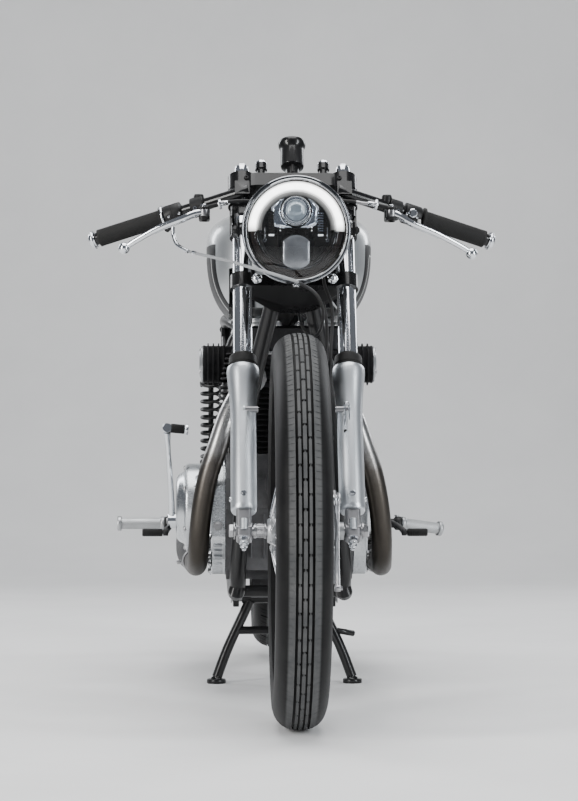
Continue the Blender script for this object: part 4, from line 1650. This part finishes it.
# ------------------------------------------------------------------ frame and engine
FRAME_TUBES = [
    (30, [(20, -398, 786), (66, -324, 600), (80, -310, 500), (95, -292, 270), (97, -272, 215), (100, -240, 200),
          (100, 110, 200), (103, 156, 232), (105, 178, 300), (105, 178, 400), (105, 188, 640), (80, 190, 700), (20, 190, 728)]),
    (24, [(80, 194, 706), (112, 300, 730), (114, 560, 735), (108, 640, 742), (84, 690, 748), (40, 706, 750), (-1, 708, 750)]),
    (22, [(105, 186, 430), (112, 420, 600), (114, 570, 728)])]


def weld(B, p, axis, r, mat=0):
    """A weld bead: a ring with a ripple."""
    m = frame_at(p, axis)
    n = 54
    v, f = [], []
    for i in range(n):
        a = 2 * math.pi * i / n
        t = 1.8 + 0.35 * math.sin(i * 2.4)
        for k in range(6):
            b = 2 * math.pi * k / 6
            rr = r + t * math.cos(b)
            v.append((rr * math.cos(a), rr * math.sin(a), t * math.sin(b)))
    for i in range(n):
        for k in range(6):
            f.append([i * 6 + k, ((i + 1) % n) * 6 + k, ((i + 1) % n) * 6 + (k + 1) % 6, i * 6 + (k + 1) % 6])
    B.add(v, f, mat, m)


def main_frame():
    B = Build()
    hm = FORK @ Matrix.Translation((0, FO, 0))
    B.lathe([(16.5, 503), (25, 503), (27.6, 504), (27.6, 516), (26, 519), (26, 658), (27.6, 661), (27.6, 674), (25, 675), (16.5, 675)], hm, 0, 56)
    B.rod((0, -366, 846), (0, 194, 733), 22, 0, 40)
    B.rod((0, -384, 800), (0, -250, 800), 15, 0, 32)
    weld(B, (0, -366 + 12, 846 - 2), (0, 560, -113), 22)
    for s in (1, -1):
        for d, pts in FRAME_TUBES:
            path = smooth_path([(s * p[0], p[1], p[2]) for p in pts], 7)
            B.tube(path, d / 2, 0, 24)
        for q, ax, r in (((s * 26, -388, 762), (s * 0.3, 0.5, -1), 15), ((s * 80, 194, 706), (1, 0.4, 0), 12), ((s * 112, 420, 600), (0, 1, 0.8), 11)):
            pass
        weld(B, (s * 114, 566, 722), (0, 0.75, 0.64), 11.5)
        weld(B, (s * 105, 196, 446), (0, 0.8, 0.6), 11.5)
        # shock mount plate and pin
        m = Matrix.Translation((s * 119 - 4, 0, 0)) @ Matrix.Rotation(rad(90), 4, "Y") @ Matrix.Rotation(rad(90), 4, "Z")
        o = rounded([(538, 650), (582, 650), (590, 735), (530, 735)], 14)
        B.prism([(y, z) for y, z in o], 8, yz(s * 119 - 4), 0, 1.2)
        B.rod((s * 119, 560, 665), (s * 160, 560, 665), 6, 1, 20)
        B.lathe([(8, -17), (21, -17), (22, -15), (22, 15), (21, 17), (8, 17)], frame_at((s * 104.5, 178, 375), (1, 0, 0)), 0, 48)
        B.hexnut((s * 121, 178, 375), (s, 0, 0), 11, 8, 1)
        # stand lug
        o = rounded([(100, 200), (104, 150), (136, 150), (142, 200)], 10)
        B.prism(o, 12, yz(s * 96 - 6), 0, 1.2)
        B.rod((s * 104.5, 120, 168), (s * 106.5, 120, 168), 11, 1, 24)
        # engine plates with bolts, front and rear
        o = rounded([(-322, 300), (-300, 320), (-232, 320), (-228, 270), (-290, 262)], 9)
        B.prism(o, 5, yz(s * 84 - 2.5), 0, 0.8)
        for y, z in ((-300, 295), (-244, 300)):
            B.hexnut((s * 86.5, y, z), (s, 0, 0), 7, 6, 1)
        o = rounded([(98, 250), (98, 330), (178, 340), (178, 250)], 12)
        B.prism(o, 5, yz(s * 90 - 2.5), 0, 0.8)
        # head tube gusset
        o = rounded([(-392, 790), (-392, 828), (-300, 826), (-350, 776)], 6)
        B.prism(o, 4, yz(s * 13 - 2), 0, 0.8)
    B.rod((-100, -200, 200), (100, -200, 200), 11, 0, 28)
    B.rod((-112, 330, 729), (112, 330, 729), 10, 0, 28)
    B.rod((-113, 560, 735), (113, 560, 735), 10, 0, 28)
    B.rod((-112, 420, 600), (-112, 420, 600.5), 1, 0, 4)
    for s in (1, -1):                               # rounded end fins and horn bracket
        B.rod((s * 66, -330, 640), (s * 30, -332, 640), 3, 1, 12)
    B.done("frame_tubes", "chassis", ["frame_black", "steel"], ["main_frame"], angle=40)


def yz(x):
    """Local x, y, z become the row's Y, Z, X, standing at x."""
    return Matrix(((0, 0, 1, x), (1, 0, 0, 0), (0, 1, 0, 0), (0, 0, 0, 1)))


def fin(B, x0, x1, y0, y1, z, t, r, mat=0):
    o = rounded([(x0, y0), (x1, y0), (x1, y1), (x0, y1)], r, 4)
    B.prism(o, t, Matrix.Translation((0, 0, z)), mat, t * 0.3)


def engine():
    from_cad("crankcase", "engine_crankcase", "case_dark", 4.0, 3)
    B = Build()
    # joint line, front ribs, studs, filter cover, sump plug, oil lines
    o = [(-119, -237.2), (119, -237.2), (119, -22), (60, 117.4), (-119, 117.4)]
    B.prism(o, 3, Matrix.Translation((0, 0, 352)), 0, 1)
    for k in range(9):
        x = -96 + 24 * k
        B.block((x - 2, -244, 262), (x + 2, -228, 346), None, 0, 1, 1)
    for x in (-104, -52, 0, 52, 104):
        B.hexnut((x, -226, 358), (0, -0.3, 1), 5.6, 5, 1)
    B.lathe([(0, 0), (44, 0), (46, 2), (46, 12), (42, 16), (30, 18), (28, 15), (12, 15), (10, 20), (0, 20)], frame_at((0, -236, 400), (0, -1, 0)), 0, 64)
    for k in range(3):
        a = rad(90 + 120 * k)
        B.hexnut((40 * math.cos(a), -252, 400 + 40 * math.sin(a)), (0, -1, 0), 4.4, 3.4, 1)
    for k in range(11):
        B.block((-66 + k * 12.6, -178, 187), (-63 + k * 12.6, 66, 225), None, 0, 0.8)
    B.hexnut((0, -60, 186), (0, 0, -1), 11, 7, 1)
    B.done("crankcase_details", "chassis", ["case_dark", "steel"], angle=35)

    # cylinders: core with rounded barrels, thin fins, studs between
    B = Build()
    for s in (1, -1):
        B.lathe([(0, 456.5), (56, 456.5), (56, 591), (0, 591)], Matrix.Translation((s * 52, -115, 0)), 0, 64)
    B.block((-100, -176, 456.4), (100, -54, 464), None, 0, 1.5, 10)
    n = 12
    for k in range(n):
        z = 467 + k * (123.0 / n)
        w = 130 if k not in (0,) else 118
        fin(B, -w, w, -205, -27, z, 3.0, 16)
    for x in (-104, 0, 104):
        for y in (-188, -42):
            B.rod((x, y, 458), (x, y, 596), 4.6, 1, 12)
    B.done("engine_cylinders", "chassis", ["cast_dark", "steel"], ["cylinder_block"], angle=35)

    # head
    B = Build()
    B.block((-108, -190, 592.4), (108, -38, 652), None, 0, 3, 12)
    for k in range(6):
        fin(B, -128 + 2 * k, 128 - 2 * k, -208 + 2 * k, -26 - 2 * k, 596 + k * 9.2, 3.0, 14)
    B.block((-104, -176, 648), (104, -52, 697), None, 0, 5, 18)
    for x in (-58, 58):
        for y in (-162, -66):
            m = Matrix.Translation((x, y, 696))
            B.lathe([(0, 0), (27, 0), (27, 4), (25.4, 6), (25, 14), (22, 16.6), (12, 17.4), (11, 16), (0, 16)], m, 1, 40)
            o = [(11 * math.cos(rad(60 * k)), 11 * math.sin(rad(60 * k))) for k in range(6)]
            B.prism(o, 4, m @ Matrix.Translation((0, 0, 15)), 1, 0.8)
    for x in (-92, -20, 20, 92):
        for y in (-168, -60):
            B.hexnut((x, y, 697), (0, 0, 1), 6.4, 6, 2, dome=2.6)
    for s in (1, -1):
        # round covers on the cam ends, finned, with three screws
        B.lathe([(0, 100), (35, 100), (35, 156), (36, 158), (36, 160.5), (33, 163)], frame_at((0, -114, 626), (s, 0, 0)), 0, 56)
        m = frame_at((s * 160.4, -114, 626), (s, 0, 0))
        B.lathe([(34.5, 0), (34.5, 3), (33, 4.6), (26, 5.2), (24, 7.2), (10, 8), (0, 8.2)], m, 1, 56)
        for k in range(3):
            a = rad(90 + 120 * k)
            B.cap(m @ Vector((29 * math.cos(a), 29 * math.sin(a), 4.8)), (s, 0, 0), 3.6, 3.4, 2)
        for k in range(4):
            B.lathe([(35, 0), (40, 0.6), (40, 2.6), (35, 3.2)], frame_at((s * (120 + 10 * k), -114, 626), (s, 0, 0)), 0, 56)
        # exhaust stubs
        B.tube([(s * 76, -186, 611), (s * 76, -206, 605), (s * 76, -221, 600.4)], [26, 25.4, 24.6], 0, 32)
        B.rod((s * 60, -40, 648), (s * 60, -18, 648), 24, 0, 36, ch=1.5)
    for k in range(4):                              # fins running across the rocker box
        B.block((-100, -160 + 30 * k, 696), (-96 + 60, -157 + 30 * k, 701), None, 0, 0.5)
        B.block((40, -160 + 30 * k, 696), (100, -157 + 30 * k, 701), None, 0, 0.5)
    B.rod((-3, -190, 640), (-3, -228, 640), 5, 2, 14)
    B.done("engine_head", "chassis", ["cast_dark", "alloy", "steel"], ["cylinder_head"], angle=35)

    # right cover
    B = Build()
    o = rounded([(-206, 262), (-214, 300), (-214, 400), (-186, 440), (-100, 456), (30, 452), (96, 430), (112, 400), (112, 262), (84, 230), (-176, 230)], [20, 30, 40, 30, 40, 40, 30, 30, 30, 30, 30], 6)
    B.prism(o, 27.6, yz(-146), 0, 2.4)
    B.prism(inset(o, -1.2), 4, yz(-122.3), 0, 1.2)
    m = frame_at((-145, 20, 350), (-1, 0, 0))
    B.lathe([(92, 0), (90, 3), (88, 10), (86, 18), (86, 44), (84.5, 48.5), (80, 51), (74, 51.6), (70, 54), (66, 62), (60, 67), (50, 69), (30, 69.4), (28, 68), (0, 68)], m, 0, 96)
    for k in range(6):
        a = rad(60 * k + 30)
        B.screw(m @ Vector((77 * math.cos(a), 77 * math.sin(a), 51)), (-1, 0, 0), 5.2, 3.4, 1)
    m = frame_at((-145, -132, 352), (-1, 0, 0))
    B.lathe([(68, 0), (65.5, 4), (64, 12), (64, 27), (61, 30.4), (54, 31), (50, 29), (20, 29), (18, 31), (0, 31)], m, 0, 80)
    for k in range(4):
        a = rad(90 * k + 45)
        B.screw(m @ Vector((57 * math.cos(a), 57 * math.sin(a), 30)), (-1, 0, 0), 4.8, 3.2, 1)
    B.lathe([(26, 0), (22, 4), (20, 15), (20, 54), (18, 55), (9, 55)], frame_at((-145, 90, 322), (-1, 0, 0)), 0, 48)
    for k in range(14):                             # screws round the joint, in bosses that show from the front
        t = k / 14 * len(o)
        y, z = o[int(t)]
        cy, cz = -50, 345
        d = Vector((cy - y, cz - z)).normalized() * 9
        q = (-146, y + d.x, z + d.y)
        B.lathe([(8.5, 0), (7.8, 2.4), (0, 2.4)], frame_at(q, (-1, 0, 0)), 0, 24)
        B.screw((q[0] - 2.2, q[1], q[2]), (-1, 0, 0), 5.4, 3.6, 1)
    for z in (252, 263, 274, 285):                  # small ribs at the front edge
        B.block((-141, -217, z - 2.2), (-125, -205, z + 2.2), None, 0, 0.8)
    B.rod((-133, -214, 322), (-133, -226, 322), 9, 0, 24, ch=1.2)
    B.hexnut((-133, -226, 322), (0, -1, 0), 7.4, 5, 1)
    B.rod((-130, -60, 456), (-130, -60, 470), 12, 0, 28, ch=1.5)       # filler
    B.lathe([(0, 470), (15, 470), (16, 471.5), (16, 477), (14, 479), (0, 479.6)], Matrix.Translation((-130, -60, 0)), 2, 36)
    B.done("engine_cover_right", "chassis", ["polished_alloy", "steel", "rubber_black"], ["clutch_cover"], angle=35)

    # left cover
    B = Build()
    o = rounded([(-206, 262), (-214, 300), (-214, 400), (-186, 440), (-100, 452), (-10, 448), (-10, 240), (-40, 230), (-176, 230)], [20, 30, 40, 30, 30, 16, 16, 20, 30], 6)
    B.prism(o, 27.6, yz(118.4), 0, 2.4)
    m = frame_at((145, -132, 352), (1, 0, 0))
    B.lathe([(76, 0), (72, 4), (70, 12), (70, 32), (67, 36), (58, 37.4), (52, 36), (34, 36), (30, 38), (0, 38.6)], m, 0, 88)
    for k in range(3):
        a = rad(120 * k + 30)
        B.screw(m @ Vector((61 * math.cos(a), 61 * math.sin(a), 36.8)), (1, 0, 0), 5.2, 3.2, 1)
    o2 = rounded([(-18, 300), (-18, 446), (60, 440), (104, 410), (112, 360), (104, 310), (70, 286)], [8, 14, 24, 24, 24, 24, 20], 6)
    B.prism(o2, 44, yz(96), 0, 3)
    B.prism(inset(o2, 14), 4, yz(138), 0, 1.5)
    for y, z in ((-4, 318), (-4, 430), (54, 426), (96, 396), (98, 318), (60, 300)):
        B.screw((140, y, z), (1, 0, 0), 5.0, 3.4, 1)
    for k in range(11):
        t = k / 11 * len(o)
        y, z = o[int(t)]
        d = Vector((-110 - y, 345 - z)).normalized() * 9
        B.screw((146, y + d.x, z + d.y), (1, 0, 0), 5.2, 3.4, 1)
    # clutch arm
    B.rod((132, -214, 402), (132, -226, 402), 8, 0, 24, ch=1)
    B.tube([(132, -228, 402), (124, -228, 400)], 3.2, 1, 10)
    B.done("engine_cover_left", "chassis", ["polished_alloy", "steel"], ["generator_cover"], angle=35)

    # carburettors and filters
    B = Build()
    for s in (1, -1):
        m = frame_at((s * 60, -17.5, 648), (0, 1, 0))
        B.lathe([(0, 0), (24, 0), (25.4, 2), (25.4, 9), (23, 11), (21, 14), (21, 24), (23, 26), (23, 79), (21, 79.5), (0, 79.5)], m, 0, 44)
        B.ring((s * 60, -12, 648), (0, 1, 0), 26, 1.4, 1, 44, 6)
        B.lathe([(0, 598), (12, 598), (19, 600), (21, 603), (21, 630), (23, 631), (23, 634), (21, 635), (21, 650)], Matrix.Translation((s * 60, 22, 0)), 0, 44)
        B.hexnut((s * 60, 22, 598), (0, 0, -1), 7, 5, 1)
        B.lathe([(20, 650), (21, 655), (27, 657), (28, 659), (28, 664), (26, 667), (24, 669), (22, 676), (21, 700), (19, 706), (12, 710), (5, 711), (4.6, 716), (0, 716)], Matrix.Translation((s * 60, 20, 0)), 0, 48)
        for k in range(4):
            a = rad(45 + 90 * k)
            B.screw((s * 60 + 24.5 * math.cos(a), 20 + 24.5 * math.sin(a), 664.5), (0, 0, 1), 2.8, 2.4, 1)
            B.screw((s * 60 + 19.6 * math.cos(a), 22 + 19.6 * math.sin(a), 630.5), (0, 0, -1), 2.4, 2, 1)
        B.rod((s * 34, 22, 622), (s * 60, 22, 622), 5, 1, 14, ch=0.8)
        B.rod((s * 84, 30, 640), (s * 92, 30, 640), 4, 1, 14)
        B.tube(smooth_path([(s * 60, 48, 600), (s * 62, 70, 560), (s * 66, 96, 500)], 5), 2.6, 2, 8)
    B.rod((-60, 34, 676), (60, 34, 676), 3.2, 1, 12)
    B.done("carb_bodies", "chassis", ["alloy", "steel", "rubber_black"], ["carburettors"], angle=35)
    B = Build()
    for s in (1, -1):
        m = frame_at((s * 58, 62.2, 648), (0, 1, 0))
        B.lathe([(0, 0), (26, 0), (26, 10), (29, 11.6), (29, 15), (28, 16)], m, 0, 44)
        B.ring(m @ Vector((0, 0, 5)), (0, 1, 0), 26.2, 1.6, 2, 44, 6)
        n = 48
        v, f = [], []
        for i, z in enumerate((16, 22, 34, 46, 58, 70)):
            for k in range(n):
                r = 28.6 if k % 2 else 26.0
                v.append((r * math.cos(2 * math.pi * k / n), r * math.sin(2 * math.pi * k / n), z))
        for i in range(5):
            for k in range(n):
                a, b = i * n + k, i * n + (k + 1) % n
                f.append([a, b, b + n, a + n])
        B.add(v, f, 1, m)
        B.lathe([(27.4, 69), (29, 70), (29, 81), (27.6, 83.6), (22, 84), (20, 82), (0, 82)], m, 0, 44)
    B.done("intake_filters", "chassis", ["rubber_black", "filter_black", "steel"], ["air_filters"], angle=30)


HEADER = [(76, -227, 598.5), (80, -250, 590), (94, -281, 566), (115, -297, 524), (132, -306, 474), (150, -303, 420),
          (161, -296, 366), (167, -284, 313), (169, -262, 275), (171, -226, 255), (174, -170, 246), (177, -60, 243), (180, 96, 243)]


def exhaust():
    B = Build()
    for s in (1, -1):
        path = smooth_path([(s * x, y, z) for x, y, z in HEADER], 8)
        B.tube(path, 19, 0, 36)
        # finned clamp at the head, with two nuts
        m = frame_at((s * 76, -222.6, 599.8), (0, -0.959, -0.282))
        for k in range(5):
            r = 33 - 1.3 * abs(k - 1.5)
            B.lathe([(20, k * 3.6), (r, k * 3.6), (r, k * 3.6 + 1.6), (20, k * 3.6 + 1.8)], m, 1, 48)
        B.lathe([(19.2, -1), (25, -1), (25, 17), (22, 20), (19.2, 20.4)], m, 1, 48)
        for d in (-1, 1):
            q = m @ Vector((d * 27, 0, 18))
            B.hexnut(q, m.to_3x3() @ Vector((0, 0, 1)), 5.2, 5, 2)
            B.rod(m @ Vector((d * 27, 0, -14)), m @ Vector((d * 27, 0, 27)), 3, 2, 10)
    B.done("exhaust_pipes", "chassis", ["pipe_steel", "alloy", "steel"], ["exhaust_headers"], angle=40)
    B = Build()
    for s in (1, -1):
        a, b = Vector((s * 180, 98.4, 243)), Vector((s * 182, 572, 268))
        m = frame_at(a, b - a)
        prof = [(0, 0), (20, 0), (21, 2), (21.6, 18), (22.4, 28), (26, 55), (30, 88), (32.4, 112), (34.6, 160), (36.6, 220), (37.6, 280), (38, 320), (38, 396), (36.8, 412), (34.6, 430), (31.8, 448), (29.2, 464), (27, 474), (25.4, 476), (24, 474), (22, 468), (22, 442), (0, 441)]
        B.lathe(prof, m, 0, 72)
        B.lathe([(20.4, -14), (22.4, -14), (23, -12.6), (23, 2), (22.4, 3), (20.4, 3)], m, 1, 48, closed=True)
        B.rod(m @ Vector((23, -3, -6)), m @ Vector((33, -3, -6)), 3.4, 1, 12)
        B.hexnut(m @ Vector((29, -3, -6)), m.to_3x3() @ Vector((0, 1, 0)), 5, 4, 1)
        B.lathe([(38.1, 380), (39, 381), (39, 391), (38.1, 392)], m, 1, 72)
        # bracket
        B.tube([(s * 178, 180, 266), (s * 160, 180, 280), (s * 135, 180, 299)], 4, 1, 12, flat=(1.6, 0.8))
        B.hexnut((s * 137, 176, 298), (0, -1, 0), 5.0, 3, 1)
    B.done("silencer_bodies", "chassis", ["black_satin", "steel"], ["silencers"], angle=40)


def small_parts():
    # kick lever
    B = Build()
    B.rod((-200.3, 90, 322), (-224, 90, 322), 9, 0, 32, ch=0.8)
    B.lathe([(9, 0), (14, 0), (15, 1), (15, 16), (14, 17), (9, 17)], frame_at((-214, 90, 322), (-1, 0, 0)), 0, 40)
    B.hexnut((-231, 90, 322), (-1, 0, 0), 6, 2, 1)
    B.tube(smooth_path([(-223, 88, 326), (-224.5, 72, 380), (-229, 56, 446), (-232, 45, 496)], 7), [9, 8.6, 8.2, 7.8, 7.6, 7.4, 7.2, 7.0, 6.9, 6.8, 6.7, 6.6, 6.5, 6.4, 6.3, 6.2, 6.2, 6.4, 6.8, 7.4, 8.2, 9.0], 0, 20, flat=(0.8, 1.0))
    B.lathe([(0, -9), (8.6, -9), (9.4, -8), (9.4, 8), (8.6, 9), (0, 9)], frame_at((-232, 44, 505), (0, -1, 0.1)), 0, 32)
    B.rod((-232, 44, 506), (-192, 48, 502), 6.4, 0, 24)
    B.lathe([(0, 0), (8.2, 0), (8.8, 0.8), (8.8, 26), (8.2, 27), (0, 27)], frame_at((-198, 47.4, 502.7), (-1, -0.1, 0.1)), 2, 32)
    for k in range(7):
        B.ring(Vector((-201 - 3.4 * k, 47.1 - 0.34 * k, 503 + 0.34 * k)), (-1, -0.1, 0.1), 8.8, 0.8, 2, 28, 6)
    B.lathe([(0, 0), (10.6, 0), (11, 0.8), (11, 5), (10, 6), (0, 6.4)], frame_at((-197, 47.5, 502.6), (1, 0.1, -0.1)), 0, 32)
    B.done("kick_lever", "chassis", ["chrome", "steel", "rubber_black"], ["kickstart_lever"], angle=40)

    # footrests: hanger, arm, turned peg with end knob; pedal
    for s, node, name in ((-1, "footrest_right", "rest_right"), (1, "footrest_left", "rest_left")):
        B = Build()
        o = rounded([(150, 296), (156, 350), (176, 402), (206, 402), (232, 330), (228, 296)], [10, 30, 10, 10, 30, 10], 6)
        B.prism(o, 8, yz(121.3 if s > 0 else -129.3), 1, 1.2)
        for y, z in ((190, 390), (168, 310)):
            B.hexnut((s * 129.3, y, z), (s, 0, 0), 6.4, 5, 2)
        m = frame_at((s * 129, 205, 313), (s, 0, 0))
        B.lathe([(0, 0), (15, 0), (15, 6), (12, 9), (9.5, 12), (9.5, 96), (12, 98), (14, 100), (14, 109), (13, 111), (10, 111)], m, 1, 44)
        if s > 0:                                   # this one hangs a little out and back from its hinge
            m = frame_at((s * 238, 205, 313), Vector((89, 27, -13))) @ Matrix.Translation((0, 0, -109))
        B.lathe([(10, 109), (13.6, 111), (14, 112), (14, 117), (13, 119), (11.4, 120), (11.4, 122), (11, 122)], m, 0, 44)
        n, v, f = 72, [], []
        rows = 90
        for i in range(rows + 1):
            z = 122 + (74.0 if s < 0 else 68.0) * i / rows
            for k in range(n):
                a = 2 * math.pi * k / n
                pat = abs(math.sin(a * 9 + z * 0.62)) * abs(math.sin(a * 9 - z * 0.62))
                r = 10.7 + 0.9 * pat
                v.append((r * math.cos(a), r * math.sin(a), z))
        for i in range(rows):
            for k in range(n):
                a, b = i * n + k, i * n + (k + 1) % n
                f.append([a, b, b + n, a + n])
        B.add(v, f, 0, m)
        if s > 0:
            m = m @ Matrix.Translation((0, 0, -6))
        B.lathe([(10.6, 196), (11.4, 196.4), (11.6, 197.4), (14.4, 198), (15, 199), (15, 204.4), (14.2, 206), (8, 206.4), (7, 205), (0, 205)], m, 0, 44)
        B.lathe([(0, 0), (4.4, 0), (4.4, 3), (0, 3)], frame_at((s * 231, 205, 327), (0, 0, 1)), 2, 16)
        B.tube(smooth_path([(s * 150, 205, 313), (s * 186, 198, 316), (s * 212, 164, 318), (s * 230, 100, 308), (s * 236, 58, 300)], 6), 5.6, 1, 18, flat=(1.25, 0.8))
        B.lathe([(9.6, -8), (13, -8), (13, 8), (9.6, 8)], frame_at((s * 152, 205, 313), (1, 0, 0)), 1, 36, closed=True)
        B.rod((s * 230, 56, 300), (s * 240, 56, 300), 6.6, 1, 24, ch=1)
        B.lathe([(0, 0), (6.4, 0), (7.4, 1), (7.4, 38), (6.4, 40), (0, 40)], frame_at((s * 241, 56, 300), (s, 0, 0)), 3, 28)
        for k in range(8):
            B.ring((s * (246 + 4.4 * k), 56, 300), (s, 0, 0), 7.4, 0.8, 3, 24, 6)
        B.done(name, "chassis", ["alloy", "black_satin", "steel", "rubber_black"], [node], angle=45)

    # centre stand with its spring
    B = Build()
    B.rod((-84, 120, 168), (84, 120, 168), 11, 0, 32)
    B.rod((-104, 120, 168), (104, 120, 168), 8, 1, 28)
    for s in (1, -1):
        B.tube(smooth_path([(s * 66, 120, 168), (s * 79, 116, 140), (s * 112, 104, 70), (s * 134, 97, 12)], 6), 10, 0, 24)
        m = Matrix.Translation((s * 135, 97, 0))
        B.lathe([(0, 0), (18, 0), (19, 1.2), (19, 7), (17.6, 9), (0, 9)], m, 0, 40)
        weld(B, (s * 134, 97.4, 13), (s * 0.3, -0.1, 1), 10)
        weld(B, (s * 69, 119, 161), (s * 0.4, -0.1, -1), 10)
    B.rod((-98, 109, 104), (98, 109, 104), 8, 0, 28)
    B.tube(smooth_path([(98, 109, 104), (120, 112, 100), (138, 124, 96)], 4), 6, 0, 16)
    B.done("stand_legs", "stand", ["frame_black", "steel"], ["centre_stand"], angle=40)

    # battery box: lid, strap, connectors
    from_cad("battery_box", "battery_case", "black_satin", 3.0, 3)
    B = Build()
    B.block((-73.4, 256, 602), (73.4, 278, 713.4), None, 1, 1.0, 2)
    B.block((-20, 220.4, 640), (20, 222.2, 680), None, 2, 0.4, 2)
    for x in (-50, 50):
        B.hexnut((x, 330.2, 650), (0, 1, 0), 5, 4, 2)
    for s in (1, -1):
        B.rod((s * 72, 300, 660), (s * 96, 300, 690), 4, 2, 12)
    B.done("battery_strap", "chassis", ["black_satin", "rubber_black", "steel"])

    # front brake plate: ribs, cam bosses, arms, link
    B = Build()
    m = frame_at((45.8, YF, FR), (1, 0, 0))
    B.lathe([(8, 0), (90, 0), (90, 3), (88, 5.6), (82, 6.4), (78, 7.2), (76, 9.6), (62, 11), (56, 11), (52, 8), (30, 8), (26, 11), (18, 12.6), (15, 14), (15, 29.6), (8, 29.6)], m, 0, 96)
    for k in range(10):
        a = rad(36 * k + 10)
        B.tube([m @ Vector((30 * math.cos(a), 30 * math.sin(a), 9)), m @ Vector((56 * math.cos(a), 56 * math.sin(a), 9.6))], 2.2, 0, 8)
    for y, z in ((YF - 40, FR + 52), (YF + 52, FR - 36)):
        B.rod((52, y, z), (63, y, z), 8, 0, 28, ch=1)
        B.hexnut((64, y, z), (1, 0, 0), 5.4, 4, 1)
    B.tube(smooth_path([(61, YF - 40, FR + 60), (61.5, YF - 41, FR + 52), (62, YF - 50, FR - 10), (62, YF - 62, FR - 92)], 5), [6, 7, 7.6, 7.4, 6.8, 6.2, 5.6, 5.2, 4.8, 4.6, 4.4, 4.2, 4.2, 4.4, 5, 5.4], 1, 14, flat=(1.0, 0.5))
    B.tube([(61, YF + 52, FR - 36), (61, YF + 40, FR - 62), (61, YF + 30, FR - 84)], [7, 5.4, 5.2], 1, 14, flat=(1.0, 0.5))
    B.rod((64, YF - 62, FR - 92), (64, YF + 30, FR - 84), 2.8, 1, 12)
    for y, z in ((YF - 62, FR - 92), (YF + 30, FR - 84)):
        B.lathe([(0, -5), (5.4, -5), (5.8, -4), (5.8, 4), (5.4, 5), (0, 5)], frame_at((62, y, z), (1, 0, 0)), 1, 24)
        B.hexnut((67, y, z), (1, 0, 0), 3.8, 3, 1)
    for k in range(22):                             # return spring on the upper cam
        t = k / 22
    path = [Vector((55 + 0.32 * k, YF - 40 + 10 * math.cos(k * 0.5), FR + 52 + 10 * math.sin(k * 0.5))) for k in range(40)]
    B.tube(path, 1.0, 2, 6)
    B.done("brake_plate_front", "steering", ["alloy", "steel", "spring_steel"], ["front_brake_plate"], angle=35)

    B = Build()
    B.rod((-112, YF, FR), (112, YF, FR), 7.5, 0, 28)
    for s in (1, -1):
        B.hexnut((s * 106.3, YF, FR), (s, 0, 0), 11.6, 8, 0)
        if s < 0:
            B.lathe([(7.7, 0), (13, 0), (13, 3), (11, 4), (11, 16), (12.4, 17), (12.4, 21), (7.7, 21)], frame_at((-54, YF, FR), (-1, 0, 0)), 0, 36)
            for k in range(20):
                a = 2 * math.pi * k / 20
                B.rod((-59, YF + 11.2 * math.cos(a), FR + 11.2 * math.sin(a)), (-69, YF + 11.2 * math.cos(a), FR + 11.2 * math.sin(a)), 0.6, 0, 5)
    B.done("front_axle_set", "steering", ["steel"], ["front_axle"], angle=40)


# ------------------------------------------------------------------ stage and lights
def stage():
    me = bpy.data.meshes.new("studio_floor")
    v, f = [], []
    prof = [(-7.0, 0.0)] + [(3.6 + 1.6 * math.sin(rad(90 * k / 16)), 1.6 - 1.6 * math.cos(rad(90 * k / 16))) for k in range(17)] + [(5.2, 7.0)]
    for y, z in prof:
        v += [(-9, y, z), (9, y, z)]
    for i in range(len(prof) - 1):
        f.append([2 * i, 2 * i + 1, 2 * i + 3, 2 * i + 2])
    me.from_pydata(v, [], f)
    me.polygons.foreach_set("use_smooth", [True] * len(me.polygons))
    ob = bpy.data.objects.new("studio_floor", me)
    bpy.context.collection.objects.link(ob)
    k = Mat("mat_floor")
    n = k.noise(3.0, 5, 0.6)
    g = k.noise(180, 3, 0.6)
    k.set(color=k.mix(k.span(n, 0.3, 0.7), (0.80, 0.80, 0.80), (0.85, 0.85, 0.845)), rough=0.7, normal=k.bump(g, 0.03, 0.001), spec=0.3)
    me.materials.append(k.m)
    w = bpy.data.worlds.new("studio")
    bpy.context.scene.world = w
    w.use_nodes = True
    bg = w.node_tree.nodes["Background"]
    bg.inputs[0].default_value = (0.78, 0.82, 0.90, 1)
    bg.inputs[1].default_value = 0.20
    area("strip_left", (-2.9, -2.9, 1.5), (0, -0.5, 0.6), 0.7, 130, (1.0, 0.99, 0.97), 2.6)
    area("strip_right", (2.9, -2.9, 1.5), (0, -0.5, 0.6), 0.7, 105, (0.95, 0.98, 1.0), 2.6)
    area("top", (0, -0.4, 3.9), (0, 0.1, 0.0), 3.0, 190, (1, 1, 1), 4.0)
    area("back_left", (-2.6, 2.4, 2.2), (0, 0.2, 0.6), 1.0, 50, (0.95, 0.97, 1.0), 1.8)
    area("back_right", (2.6, 2.4, 2.2), (0, 0.2, 0.6), 1.0, 50, (0.95, 0.97, 1.0), 1.8)


# ------------------------------------------------------------------ everything
camera()
MATS = build_materials()
MATS["case_dark"] = metal("mat_case_dark", (0.13, 0.13, 0.135), 0.42, 0.2, 0.25, 1400, 0.3, (0.05, 0.045, 0.04))
MATS["cable_pale"] = rubber("mat_cable_pale", (0.30, 0.31, 0.32), 0.35, 0.2, 0.1)
MATS["thread"] = rubber("mat_thread", (0.10, 0.095, 0.09), 0.8, 0.5, 0.0)
MATS["amber_lens"] = metal("mat_amber_lens", (0.65, 0.24, 0.02), 0.2, 0.1, 0)
BODY_NODES = frame["record"]["behaviour"]["bodies"]
wheels()
fork()
headlamp()
gauge()
bars()
tank()
seat()
rear_end()
main_frame()
engine()
exhaust()
small_parts()
stage()
